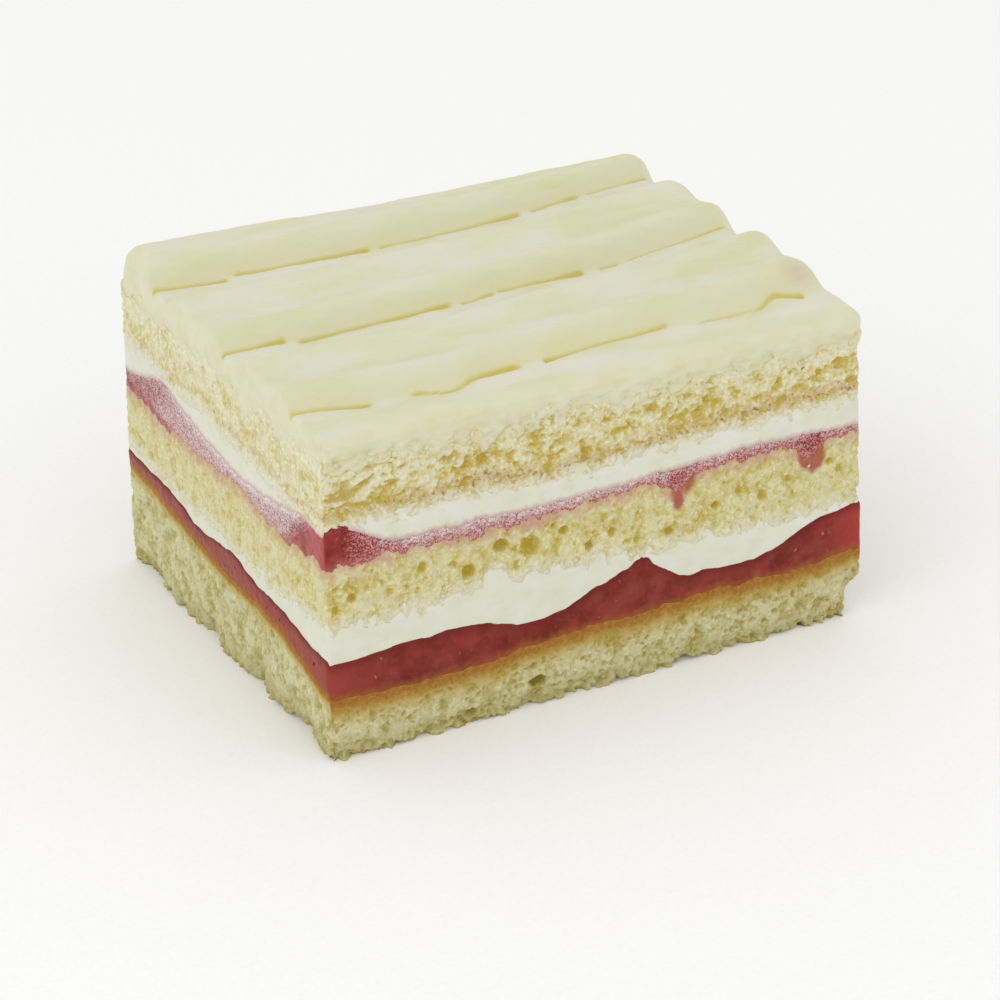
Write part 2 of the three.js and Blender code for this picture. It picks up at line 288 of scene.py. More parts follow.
PLACE, OUT = wall_columns()
COLUMNS = len(PLACE)
ALONG_X, ALONG_Y = PLACE.T
FRONT_PART, RIGHT_PART, BACK_PART, LEFT_PART = (
    smoothstep(facing, *SIDE_TURN) for facing in (-OUT[:, 1], OUT[:, 0], OUT[:, 1], -OUT[:, 0]))


def ripple(reach, height):
    """A seeded wave round the walls, with waves of about the given reach, in millimetres."""
    wave = smooth_ring(chance.standard_normal(COLUMNS), reach)
    return wave / wave.std() * height


def top_heights(node, x, y):
    """Heights of a solid's top over plan points that are given from the front left corner."""
    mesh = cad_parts[node].data
    tree = BVHTree.FromPolygons([v.co[:] for v in mesh.vertices], [p.vertices[:] for p in mesh.polygons])
    heights = []
    for px, py in zip(x, y):
        start = Vector(((px - LENGTH / 2) * MM, (py - DEPTH / 2) * MM, LOOK_FROM * MM))
        spot = tree.ray_cast(start, Vector((0, 0, -1)))[0]
        heights.append(spot.z / MM if spot else np.nan)
    heights = np.array(heights)
    known = ~np.isnan(heights)
    heights[~known] = np.interp(np.flatnonzero(~known), np.flatnonzero(known), heights[known])
    return heights


def rim_heights(node, height):
    """Heights of a solid's top just inside the walls, one for each column."""
    inside = PLACE - OUT * LOOK_INSIDE
    x, y = leaned(inside[:, 0], inside[:, 1], height)
    return smooth_ring(top_heights(node, x, y), RIM_BLUR)


def front_turn(places, heights):
    """A turn of a border on the front wall alone, by places along it and heights there."""
    return FRONT_PART * np.interp(ALONG_X, places, heights)


# Meshes


def mesh_object(name, points, faces, attributes):
    """A smooth mesh object from points in millimetres from the front left corner."""
    mesh = bpy.data.meshes.new(name)
    moved = (points - np.array([LENGTH / 2, DEPTH / 2, 0])) * MM
    mesh.from_pydata(moved.tolist(), [], faces)
    for key, values in attributes.items():
        kind, slot = ("FLOAT_VECTOR", "vector") if values.ndim == 2 else ("FLOAT", "value")
        layer = mesh.attributes.new(key, kind, "POINT")
        layer.data.foreach_set(slot, np.ascontiguousarray(values, dtype=np.float32).ravel())
    mesh.shade_smooth()
    piece = bpy.data.objects.new(name, mesh)
    bpy.context.scene.collection.objects.link(piece)
    return piece


def grid_faces(rows, columns):
    """Quads of a grid that closes on itself along its columns."""
    first = np.arange(rows - 1)[:, None] * columns
    low = first + np.arange(columns)
    low_next = first + np.roll(np.arange(columns), -1)
    return np.stack([low, low_next, low_next + columns, low + columns], axis=-1).reshape(-1, 4).tolist()


def layer_piece(name, lower, upper, step, border_low, border_high, inset, bite=(), extra=None, torn=None):
    """A closed layer between two heights round the walls. A border gives how far the layer runs on behind
    its neighbour, how far inside its own edge it starts to slope in, and how steeply."""
    rows = int(np.ceil((upper - lower).max() / step)) + 1
    part = np.linspace(0, 1, rows)[:, None]
    bottom = lower - border_low[0]
    top = upper + border_high[0]
    z = bottom + (top - bottom) * part
    over = z - lower
    under = upper - z
    draw = (inset + border_low[2] * np.clip(border_low[1] - over, 0, None)
            + border_high[2] * np.clip(border_high[1] - under, 0, None))
    x, y = leaned(ALONG_X - OUT[:, 0] * draw, ALONG_Y - OUT[:, 1] * draw, z)
    rings = [np.stack([x, y, z], axis=-1).reshape(-1, 3)]
    cap_x = ALONG_X + (LENGTH / 2 - ALONG_X) * CAP_INSET / (LENGTH / 2)
    cap_y = ALONG_Y + (DEPTH / 2 - ALONG_Y) * CAP_INSET / (DEPTH / 2)
    for rim, place in ((bottom, 0), (top, 2)):
        cx, cy = leaned(cap_x, cap_y, rim)
        rings.insert(place, np.stack([cx, cy, rim], axis=-1))
    points = np.concatenate(rings)
    if torn:
        points = torn(points)
    faces = grid_faces(rows + 2, COLUMNS)
    faces.append(list(range(COLUMNS))[::-1])
    faces.append(list(range(len(points) - COLUMNS, len(points))))
    fields = {"over": over, "under": under, "hold": np.ones_like(z), "bite": np.zeros_like(z)}
    for spot in bite:
        fields["bite"] = np.maximum(fields["bite"], spot(z))
    for key, spread in (extra or {}).items():
        fields[key] = spread(z, over, under) * np.ones_like(z)
    still = np.zeros((1, COLUMNS))
    attributes = {"outward": np.tile(np.concatenate([OUT, np.zeros((COLUMNS, 1))], axis=1), (rows + 2, 1))}
    for key, values in fields.items():
        ends = (still, still) if key in ("hold", "bite") else (values[:1], values[-1:])
        attributes[key] = np.concatenate([ends[0], values, ends[1]]).ravel()
    return mesh_object(name, points, faces, attributes)


def under_cream(foot, top):
    """Border of crumb that goes on under a cream, as far as the cream's own height allows."""
    return np.clip(0.5 * (top - foot), 0.3, RUNS_UNDER[0]), RUNS_UNDER[1], RUNS_UNDER[2]


def pore(along, height, wide, tall, depth):
    """An open pore at a place on the front wall, as a function of the heights of the wall's points."""

    def depth_at(z):
        away = ((ALONG_X - along) / (wide / 2)) ** 2 + ((z - height) / (tall / 2)) ** 2
        return FRONT_PART * depth * np.sqrt(np.clip(1 - away, 0, 1))

    return depth_at


def crack(path, wide, depth):
    """A torn crack along a path on the front wall, as a function of the heights of the wall's points."""
    places, heights = zip(*path)
    beyond, before = CRACK_TAPER
    middle = np.interp(ALONG_X, places, heights) + ripple(0.9, 0.3)
    started = smoothstep(ALONG_X, places[0] - beyond, places[0] + before)
    ended = smoothstep(ALONG_X, places[-1] - before, places[-1] + beyond)
    half = wide / 2 * (started * (1 - ended)) * np.clip(1 + ripple(1.2, 0.35), 0.3, 2)

    def depth_at(z):
        away = (z - middle) / np.maximum(half, 1e-6)
        return FRONT_PART * depth * np.sqrt(np.clip(1 - away ** 2, 0, 1))

    return depth_at


def torn_foot(points):
    """Draws the lowest sponge in where its foot is torn, as in the part's source."""
    moved = points.copy()
    x, y, z = points.T
    for side, at, wide, tall, depth in TEARS:
        away = {"left": x, "right": LENGTH - x, "back": back_edge(x) - y}[side]
        along = x if side == "back" else y
        near = np.clip(1 - away / TEAR_REACH, 0, 1)
        shut = 1 - smoothstep(z, tall * (1 - TEAR_FADE), tall)
        draw = depth * bell(along - at, wide) * near * shut
        moved[:, 1 if side == "back" else 0] += draw * (1 if side == "left" else -1)
    return moved


# Patterns of relief and materials


def patches(tree, place, size, limits=(0.0, 1.0), levels=(0.0, 1.0), detail=2.0, roughness=0.5,
            ease="LINEAR"):
    """Soft patches of about a size in millimetres, drawn between two limits and set to two levels there.
    Map Range takes its value, limits and levels in this order."""
    scale = add(tree, "ShaderNodeMath", [1.0, size], operation="DIVIDE")[0]
    noise = add(tree, "ShaderNodeTexNoise",
                {"Vector": place, "Scale": scale, "Detail": detail, "Roughness": roughness})[0]
    return add(tree, "ShaderNodeMapRange", [noise, *limits, *levels], interpolation_type=ease)[0]


def shaken(tree, place, scale, detail, reach):
    """A soft random offset of up to half a reach each way."""
    noise = add(tree, "ShaderNodeTexNoise", {"Vector": place, "Scale": scale, "Detail": detail})["Color"]
    offset = add(tree, "ShaderNodeVectorMath", [noise, (0.5, 0.5, 0.5)], operation="SUBTRACT")[0]
    return add(tree, "ShaderNodeVectorMath", {0: offset, "Scale": reach}, operation="SCALE")[0]


# Geometry Nodes


def finish_tree(tree, geometry, material):
    """Ends a tree in Realize Instances and Set Material."""
    whole = add(tree, "GeometryNodeRealizeInstances", {"Geometry": geometry})[0]
    coloured = add(tree, "GeometryNodeSetMaterial", {"Geometry": whole, "Material": material})[0]
    add(tree, "NodeGroupOutput", [coloured])


def new_tree(name, sizes):
    """A Geometry Nodes tree with a mesh in, a material, named sizes and a mesh out."""
    tree = bpy.data.node_groups.new(name, "GeometryNodeTree")
    tree.interface.new_socket("Geometry", in_out="OUTPUT", socket_type="NodeSocketGeometry")
    tree.interface.new_socket("Geometry", in_out="INPUT", socket_type="NodeSocketGeometry")
    tree.interface.new_socket("Material", in_out="INPUT", socket_type="NodeSocketMaterial")
    for size, value in sizes.items():
        kind = "NodeSocketInt" if isinstance(value, int) else "NodeSocketFloat"
        tree.interface.new_socket(size, in_out="INPUT", socket_type=kind).default_value = value
    return tree, add(tree, "NodeGroupInput")


def grown(piece, tree, material, sizes):
    """Runs a tree on a piece and keeps the result as its plain mesh."""
    modifier = piece.modifiers.new(tree.name, "NODES")
    modifier.node_group = tree
    values = {**sizes, "Material": material}
    for socket in tree.interface.items_tree:
        if socket.in_out == "INPUT" and socket.name in values:
            modifier[socket.identifier] = values[socket.name]
    shown = piece.evaluated_get(bpy.context.evaluated_depsgraph_get())
    mesh = bpy.data.meshes.new_from_object(shown)
    piece.modifiers.clear()
    old = piece.data
    piece.data = mesh
    bpy.data.meshes.remove(old)
    mesh.name = piece.name
    return piece


def relief_tree():
    """Relief of a cut wall: round bubbles, torn hollows, lumps and fluff, all in millimetres."""
    tree, given = new_tree("Cut wall relief", {
        "Bubble": 2.4, "Bubble share": 0.0, "Small bubble": 1.3, "Small share": 0.0, "Bubble depth": 0.8,
        "Hollow": 2.0, "Hollow from": 0.6, "Hollow depth": 0.0, "Lump": 3.0, "Lump height": 0.3,
        "Grain": 1.5, "Grain height": 0.0, "Fray": 2.0, "Fray height": 0.0,
        "Fluff": 0.8, "Fluff height": 0.1, "Patch": 5.0, "Calm": 1.0, "Wander": 0.5, "Stretch": 1.0,
        "Foot wear": 0.0, "Seed": 0.0,
    })
    position = add(tree, "GeometryNodeInputPosition")[0]
    in_mm = add(tree, "ShaderNodeVectorMath", {0: position, "Scale": 1 / MM}, operation="SCALE")[0]
    shift = add(tree, "ShaderNodeCombineXYZ", [given["Seed"]] * 3)[0]
    spot = add(tree, "ShaderNodeVectorMath", [in_mm, shift], operation="ADD")[0]
    across = add(tree, "ShaderNodeCombineXYZ", [1.0, 1.0, given["Stretch"]])[0]
    spot = add(tree, "ShaderNodeVectorMath", [spot, across], operation="MULTIPLY")[0]
    warp = shaken(tree, spot, WARP_PER_MM, 2.0, given["Wander"])
    warped = add(tree, "ShaderNodeVectorMath", [spot, warp], operation="ADD")[0]
    bite, loose, hold = (add(tree, "GeometryNodeInputNamedAttribute", {"Name": key}, data_type="FLOAT")[0]
                         for key in ("bite", "fray", "hold"))
    outward = add(tree, "GeometryNodeInputNamedAttribute", {"Name": "outward"}, data_type="FLOAT_VECTOR")[0]
    # Pits: what bites into the wall, then bubbles in two sizes, then torn hollows
    pit = bite
    for size, share in (("Bubble", "Bubble share"), ("Small bubble", "Small share")):
        scale = add(tree, "ShaderNodeMath", [1.0, given[size]], operation="DIVIDE")[0]
        cell = add(tree, "ShaderNodeTexVoronoi", {"Vector": warped, "Scale": scale})
        draw = add(tree, "FunctionNodeSeparateColor", [cell["Color"]])
        radius = add(tree, "ShaderNodeMapRange", [draw[0], 0.0, 1.0, *BUBBLE_RADIUS])[0]
        open_here = add(tree, "ShaderNodeMath", [draw[1], given[share]], operation="LESS_THAN")[0]
        away = add(tree, "ShaderNodeMath", [cell["Distance"], radius], operation="DIVIDE")[0]
        away = add(tree, "ShaderNodeMath", [away, away], operation="MULTIPLY")[0]
        bowl = add(tree, "ShaderNodeMath", [1.0, away], operation="SUBTRACT", use_clamp=True)[0]
        for factor in (radius, given[size], open_here, given["Bubble depth"]):
            bowl = add(tree, "ShaderNodeMath", [bowl, factor], operation="MULTIPLY")[0]
        pit = add(tree, "ShaderNodeMath", [pit, bowl], operation="MAXIMUM")[0]
    full = add(tree, "ShaderNodeMath", [given["Hollow from"], HOLLOW_RAMP], operation="ADD")[0]
    torn = patches(tree, warped, given["Hollow"], (given["Hollow from"], full), (0.0, given["Hollow depth"]),
                   3.0, 0.6)
    pit = add(tree, "ShaderNodeMath", [pit, torn], operation="MAXIMUM")[0]
    # Gaps between grains where the crumb is open, frayed edges and a foot worn in teeth
    gap = patches(tree, warped, given["Grain"], (0.3, 0.52), (1.0, 0.0), 2.5, 0.6, "SMOOTHSTEP")
    opened = patches(tree, spot, given["Patch"], (0.4, 0.58), (given["Calm"], 1.0))
    fray = patches(tree, spot, given["Fray"], (0.3, 0.7), (-1.0, 1.0), 3.0, 0.6)
    height = add(tree, "ShaderNodeSeparateXYZ", [in_mm])[2]
    foot = add(tree, "ShaderNodeMapRange", [height, 0.0, WORN_HEIGHT, 1.0, 0.0],
               interpolation_type="SMOOTHSTEP")[0]
    teeth = patches(tree, in_mm, 1 / TEETH_PER_MM, (0.4, 0.65))
    gap, fray, foot = (add(tree, "ShaderNodeMath", pair, operation="MULTIPLY")[0]
                       for pair in ((gap, opened), (fray, loose), (foot, teeth)))
    lump = patches(tree, spot, given["Lump"], levels=LUMP_LEVELS, detail=1.0)
    fluff = patches(tree, spot, given["Fluff"], levels=LUMP_LEVELS)
    depth = pit
    for shape, key in ((lump, "Lump height"), (fluff, "Fluff height"), (gap, "Grain height"),
                       (fray, "Fray height"), (foot, "Foot wear")):
        depth = add(tree, "ShaderNodeMath", [shape, given[key], depth], operation="MULTIPLY_ADD")[0]
    for factor in (hold, -MM):
        depth = add(tree, "ShaderNodeMath", [depth, factor], operation="MULTIPLY")[0]
    offset = add(tree, "ShaderNodeVectorMath", {0: outward, "Scale": depth}, operation="SCALE")[0]
    kept = given["Geometry"]
    for key, value in (("pit", pit), ("gap", gap)):
        kept = add(tree, "GeometryNodeStoreNamedAttribute", {"Geometry": kept, "Name": key, "Value": value},
                   data_type="FLOAT", domain="POINT")[0]
    moved = add(tree, "GeometryNodeSetPosition", {"Geometry": kept, "Offset": offset})[0]
    finish_tree(tree, moved, given["Material"])
    return tree


def scatter_tree():
    """Small bits lying on a wall where an attribute allows them, each one its own shape."""
    tree, given = new_tree("Bits on a wall", {
        "Bits per square mm": 0.1, "Smallest": 0.3, "Largest": 0.8, "Length": 1.0, "Flatness": 0.6,
        "Roughness": 0.3, "Sunk": 0.2, "Roundness": 1, "Seed": 1,
    })
    seed = given["Seed"]
    allow = add(tree, "GeometryNodeInputNamedAttribute", {"Name": "bits"}, data_type="FLOAT")[0]
    density = given["Bits per square mm"]
    for factor in (1 / MM ** 2, allow):
        density = add(tree, "ShaderNodeMath", [density, factor], operation="MULTIPLY")[0]
    spots = add(tree, "GeometryNodeDistributePointsOnFaces",
                {"Mesh": given["Geometry"], "Density": density, "Seed": seed})
    ball = add(tree, "GeometryNodeMeshIcoSphere",
               {"Radius": 0.5 * MM, "Subdivisions": given["Roundness"]})[0]
    flat = add(tree, "ShaderNodeCombineXYZ", [given["Length"], 1.0, given["Flatness"]])[0]
    shaped = add(tree, "GeometryNodeTransform", {"Geometry": ball, "Scale": flat})[0]
    size = add(tree, "FunctionNodeRandomValue", {2: given["Smallest"], 3: given["Largest"], "Seed": seed},
               data_type="FLOAT")[1]
    spin = add(tree, "FunctionNodeRandomValue", {0: (-0.5, -0.5, 0.0), 1: (0.5, 0.5, 6.28), "Seed": seed},
               data_type="FLOAT_VECTOR")[0]
    spin = add(tree, "FunctionNodeEulerToRotation", [spin])[0]
    turn = add(tree, "FunctionNodeRotateRotation", [spots["Rotation"], spin], rotation_space="LOCAL")[0]
    placed = add(tree, "GeometryNodeInstanceOnPoints",
                 {"Points": spots["Points"], "Instance": shaped, "Rotation": turn, "Scale": size})[0]
    inward, reach = (add(tree, "ShaderNodeMath", [given[key], unit], operation="MULTIPLY")[0]
                     for key, unit in (("Sunk", -MM), ("Roughness", MM)))
    inward = add(tree, "ShaderNodeCombineXYZ", {2: inward})[0]
    sunk = add(tree, "GeometryNodeTranslateInstances", {"Instances": placed, "Translation": inward})[0]
    whole = add(tree, "GeometryNodeRealizeInstances", {"Geometry": sunk})[0]
    position = add(tree, "GeometryNodeInputPosition")[0]
    rough = shaken(tree, position, 1.4 / MM, 1.0, reach)
    uneven = add(tree, "GeometryNodeSetPosition", {"Geometry": whole, "Offset": rough})[0]
    smooth = add(tree, "GeometryNodeSetShadeSmooth", {"Geometry": uneven})[0]
    finish_tree(tree, smooth, given["Material"])
    return tree


def sprinkled(name, hosts, material, sizes, share):
    """Scatters bits over the hosts' walls, as many as share allows, and keeps them as one piece."""
    parts = []
    for number, host in enumerate(hosts):
        mesh = host.data.copy()
        spots = np.zeros(3 * len(mesh.vertices), dtype=np.float32)
        mesh.vertices.foreach_get("co", spots)
        spots = spots.reshape(-1, 3) / MM + np.array([LENGTH / 2, DEPTH / 2, 0])
        read = {}
        for key in ("over", "under", "hold"):
            read[key] = np.zeros(len(spots), dtype=np.float32)
            mesh.attributes[key].data.foreach_get("value", read[key])
        allowed = share(spots, read["over"], read["under"]) * (read["hold"] > 0)
        mesh.attributes.new("bits", "FLOAT", "POINT").data.foreach_set("value", allowed.astype(np.float32))
        part = bpy.data.objects.new(name, mesh)
        bpy.context.scene.collection.objects.link(part)
        parts.append(grown(part, scatter, material, {**sizes, "Seed": sizes["Seed"] + number}))
    if len(parts) > 1:
        with bpy.context.temp_override(active_object=parts[0], selected_editable_objects=parts):
            bpy.ops.object.join()
    return parts[0]


# Materials


def new_material(name):
    """A material, its tree, and the places on its object in millimetres."""
    material = bpy.data.materials.new(name)
    material.use_nodes = True
    tree = material.node_tree
    tree.nodes.clear()
    place = add(tree, "ShaderNodeTexCoord")["Object"]
    in_mm = add(tree, "ShaderNodeVectorMath", {0: place, "Scale": 1 / MM}, operation="SCALE")[0]
    return material, tree, in_mm


def band(tree, place, source, size, ragged, full, none, strength, detail=3.0, ease="SMOOTHSTEP"):
    """A ragged band along a border, full at one distance from it and gone at another."""
    near = add(tree, "ShaderNodeAttribute", attribute_name=source)["Fac"]
    uneven = patches(tree, place, size, levels=(-ragged / 2, ragged / 2), detail=detail)
    near = add(tree, "ShaderNodeMath", [near, uneven], operation="ADD")[0]
    return add(tree, "ShaderNodeMapRange", [near, full, none, strength, 0.0], interpolation_type=ease)[0]


def painted(tree, tone, stops, coats=()):
    """A colour by its tone, with coats over it in order, each given as its share and its own colour."""
    colour = add(tree, "ShaderNodeValToRGB", [tone], stops)[0]
    for share, coat in coats:
        coat = linear(coat) if isinstance(coat, str) else coat
        colour = add(tree, "ShaderNodeMix", {0: share, 6: colour, 7: coat}, data_type="RGBA")[2]
    return colour


def painted_crease_glow(tree, colour, painted_glow):
    """Paints the creases of crumb, cream and icing, found by occlusion, in a warm glowing colour that stands
    in for light they let through, so that they do not go grey.
    """
    open_to_light = add(tree, "ShaderNodeAmbientOcclusion", {"Distance": PAINTED_CREASE_GLOW_REACH * MM},
                        samples=PAINTED_CREASE_GLOW_SAMPLES)["AO"]
    crease = add(tree, "ShaderNodeMapRange", [open_to_light, 0.25, 0.85, 1.0, 0.0])[0]
    return add(tree, "ShaderNodeMix", {0: crease, 6: colour, 7: linear(painted_glow)}, data_type="RGBA")[2]


def finish_material(tree, colour, surface, flesh=None, bump=None):
    """Ends a material in its shader. The surface is its roughness, IOR and shine, flesh is how much light
    goes in, its radii and their scale, and bump is a pattern, its strength and its depth."""
    sockets = {"Base Color": colour, **dict(zip(("Roughness", "IOR", "Specular IOR Level"), surface))}
    if flesh:
        weight, radii, scale = flesh
        sockets.update({
            "Subsurface Weight": weight, "Subsurface Radius": radii, "Subsurface Scale": scale * MM})
    if bump:
        pattern, strength, deep = bump
        sockets["Normal"] = add(tree, "ShaderNodeBump",
                                {"Height": pattern, "Strength": strength, "Distance": deep * MM})[0]
    body = add(tree, "ShaderNodeBsdfPrincipled", sockets)[0]
    add(tree, "ShaderNodeOutputMaterial", {"Surface": body})


def sponge_material(name, colours, bands):
    """Baked sponge: an open, matt crumb that lets light through, pale where cut, with painted golden shade
    in its pores and gaps, painted highlight specks and painted glowing colour in its creases.
    """
    crumb, hollow_shade, deep, fleck_highlight, painted_glow = colours
    material, tree, place = new_material(name)
    pit, gap, hold = (
        add(tree, "ShaderNodeAttribute", attribute_name=key)["Fac"] for key in ("pit", "gap", "hold"))
    # Cell walls of the crumb are under 0.2 mm, drawn at 0.7 and 0.9 mm so that they show
    grain = patches(tree, place, 0.9)
    fine = patches(tree, place, 0.7)
    cloud = patches(tree, place, 3.5, detail=3.0)
    # Painted shade: the deeper the pits and gaps, as far as hold keeps them, the more golden and darker the
    # colour, mixed with random grain and cloud
    depth = add(tree, "ShaderNodeMath", [pit, 1.2, gap], operation="MULTIPLY_ADD")[0]
    depth = add(tree, "ShaderNodeMath", [depth, hold], operation="MULTIPLY")[0]
    for pattern, weight in ((grain, 1.7), (cloud, 1.6)):
        depth = add(tree, "ShaderNodeMath", [pattern, weight, depth], operation="MULTIPLY_ADD")[0]
    shade, spared, tooth = (
        add(tree, "ShaderNodeMapRange", spread)[0]
        for spread in ((depth, 1.5, 3.6), (pit, 0.1, 0.8, 1.0, 0.2), (grain, 0.3, 0.7, 1.08, 0.88)))
    # Painted highlights: flecks of about 0.3 mm where cut cell walls catch the light, drawn at 0.9 mm so
    # that they show
    shares = [(patches(tree, place, 0.9, (0.54, 0.68), (0.0, 0.75), 2.0, 0.6), fleck_highlight, False)]
    for colour, in_pits, *spread in bands:
        shares.append((band(tree, place, *spread), colour, in_pits))
    coats = []
    for share, colour, in_pits in shares:
        if not in_pits:
            share = add(tree, "ShaderNodeMath", [share, spared], operation="MULTIPLY")[0]
        coats.append((share, colour))
    colour = painted(tree, shade, [(0.0, crumb), (0.45, hollow_shade), (1.0, deep)], coats)
    colour = add(tree, "ShaderNodeMix", {0: 1.0, 6: colour, 7: tooth}, data_type="RGBA",
                 blend_type="MULTIPLY")[2]
    finish_material(tree, painted_crease_glow(tree, colour, painted_glow), (0.9, 1.4, 0.2), (0.5, (1.0, 0.8, 0.4), 0.5),
                    (fine, 0.35, 0.4))
    return material


def cream_material(name, stain, stain_reach):
    """Whipped cream: dense, off-white and softly shining, with a faint drag of the knife, stained below, and
    with painted glowing colour in its creases.
    """
    material, tree, place = new_material(name)
    drag = add(tree, "ShaderNodeMapping", {"Vector": place, "Scale": (0.25, 0.25, 1.0)})[0]
    smear = patches(tree, drag, 1.25, detail=3.0)
    cloud = patches(tree, place, 5.0)
    shade = add(tree, "ShaderNodeMath", [smear, 0.5, cloud], operation="MULTIPLY_ADD")[0]
    over = add(tree, "ShaderNodeAttribute", attribute_name="over")["Fac"]
    seep = patches(tree, place, 0.9, levels=(0.0, stain_reach), detail=3.0, roughness=0.7)
    seep = add(tree, "ShaderNodeMapRange", [over, 0.0, seep, 0.85, 0.0], interpolation_type="SMOOTHSTEP")[0]
    lace = band(tree, place, "under", 1.4, 3.0, -1.1, 0.7, 0.7, 2.0, "LINEAR")
    colour = painted(tree, shade, [(0.45, "#d3d3bd"), (0.7, "#d7d8c6"), (0.95, "#dbdbd0")],
                     [(seep, stain), (lace, "#d8d2ac")])
    finish_material(tree, painted_crease_glow(tree, colour, "#e9e3c2"), (0.6, 1.4, 0.3), (0.4, (1.0, 0.9, 0.7), 0.3),
                    (smear, 0.3, 0.25))
    return material


def filling_material():
    """Strawberry filling: a cooked red gel, darker round its pulp, with a damp shine and brighter red
    patches painted for its glints.
    """
    material, tree, place = new_material("strawberry gel")
    pulp = patches(tree, place, 6.0)
    skin = patches(tree, place, 1 / 0.7)
    # Fibres of the fruit are about 0.1 mm, drawn at 1.1 mm so that they show
    fibre = patches(tree, place, 1.1, (0.5, 0.75), (0.0, 0.35), 2.0, 0.6)
    # Painted highlights: brighter red patches standing in for the glints of the glossy gel
    painted_glints = patches(tree, place, 5.0, (0.54, 0.7), (0.0, 0.6))
    where = add(tree, "ShaderNodeSeparateXYZ", [place])
    under = add(tree, "ShaderNodeAttribute", attribute_name="under")["Fac"]
    rim = add(tree, "ShaderNodeMath", [pulp, 4.0], operation="MULTIPLY")[0]
    bright, near_front, near_left, rim, rough = (add(tree, "ShaderNodeMapRange", spread)[0] for spread in (
        (where[0], 58.0, 68.0, 0.0, 0.85), (where[1], -54.0, -36.0, 1.0, 0.15),
        (where[0], -70.5, -52.0, 0.75, 0.0), (under, 0.0, rim, 0.6, 0.0), (pulp, 0.0, 1.0, 0.2, 0.55)))
    bright = add(tree, "ShaderNodeMath", [bright, near_front], operation="MULTIPLY")[0]
    soak = band(tree, place, "over", 2.0, 3.0, -0.4, 2.4, 0.9)
    colour = painted(tree, pulp, [(0.34, "#6d1d16"), (0.5, "#7b2a22"), (0.66, "#893830")], [
        (fibre, "#a04a40"), (painted_glints, "#96272a"), (bright, "#aa3a33"), (near_left, "#9a4035"),
        (rim, "#651b14"), (soak, "#94552a")])
    finish_material(tree, colour, (rough, 1.36, 0.25), (0.4, (1.0, 0.3, 0.25), 0.8), (skin, 0.5, 0.35))
    return material


def frosted_material():
    """Frozen strawberry filling: mauve-red gel under a bloom of ice grains, bare and glossy at a corner."""
    material, tree, place = new_material("frosted strawberry")
    pulp = patches(tree, place, 1 / 0.3, detail=3.0)
    patch = patches(tree, place, 2.0, detail=3.0)
    frost, over, blush = (
        add(tree, "ShaderNodeAttribute", attribute_name=key)["Fac"] for key in ("frost", "over", "blush"))
    # Ice grains are about 0.2 mm, drawn at 0.3 mm so that they show
    grain = add(tree, "ShaderNodeTexVoronoi", {"Vector": place, "Scale": 1 / 0.3})["Color"]
    grain = add(tree, "ShaderNodeSeparateColor", [grain])[0]
    iced = frost
    for pattern, weight in ((patch, 0.3), (grain, 0.7)):
        iced = add(tree, "ShaderNodeMath", [pattern, weight, iced], operation="MULTIPLY_ADD")[0]
    heart = add(tree, "ShaderNodeMath", [pulp, 0.8, frost], operation="MULTIPLY_ADD")[0]
    cover, heart, thin, rough = (add(tree, "ShaderNodeMapRange", spread)[0] for spread in (
        (iced, 0.64, 1.6), (heart, -0.05, 0.3, 0.5, 0.0), (over, 0.2, 2.6, 0.75, 0.0),
        (frost, 0.0, 1.0, 0.25, 0.75)))
    colour = painted(tree, pulp, [(0.3, "#761813"), (0.5, "#902c27"), (0.75, "#aa4a45")],
                     [(heart, "#63130f"), (thin, "#b2605a"), (blush, "#ab4947"), (cover, "#e4dbd9")])
    finish_material(tree, colour, (rough, 1.36, 0.4), (0.25, (1.0, 0.4, 0.4), 0.8), (grain, 0.4, 0.2))
    return material


def seed_material():
    """Strawberry seeds: small dry husks, tan to dark red where the gel covers them."""
    material, tree, place = new_material("strawberry seed husk")
    tone = patches(tree, place, 1 / 0.6, detail=1.0)
    colour = painted(tree, tone, [(0.38, "#4a120e"), (0.5, "#77281b"), (0.62, "#ab653c")])
    finish_material(tree, colour, (0.3, 1.45, 0.5))
    return material


def dab_material(name, low_colour, high_colour, painted_glow, roughness):
    """Small bits that came off a layer when the cake was cut: as the layer, with painted shade that makes
    them duller towards the foot, and painted glowing colour in their creases.
    """
    material, tree, place = new_material(name)
    tone = patches(tree, place, 1 / 0.7)
    # Painted shade: darker towards the foot, from 40 mm down to 15 mm, slightly lighter above
    height = add(tree, "ShaderNodeSeparateXYZ", [place])[2]
    height = add(tree, "ShaderNodeMapRange", [height, 15.0, 40.0, -0.25, 0.1])[0]
    tone = add(tree, "ShaderNodeMath", [tone, height], operation="ADD")[0]
    colour = painted(tree, tone, [(0.3, low_colour), (0.65, high_colour)])
    finish_material(tree, painted_crease_glow(tree, colour, painted_glow), (roughness, 1.4, 0.25))
    return material


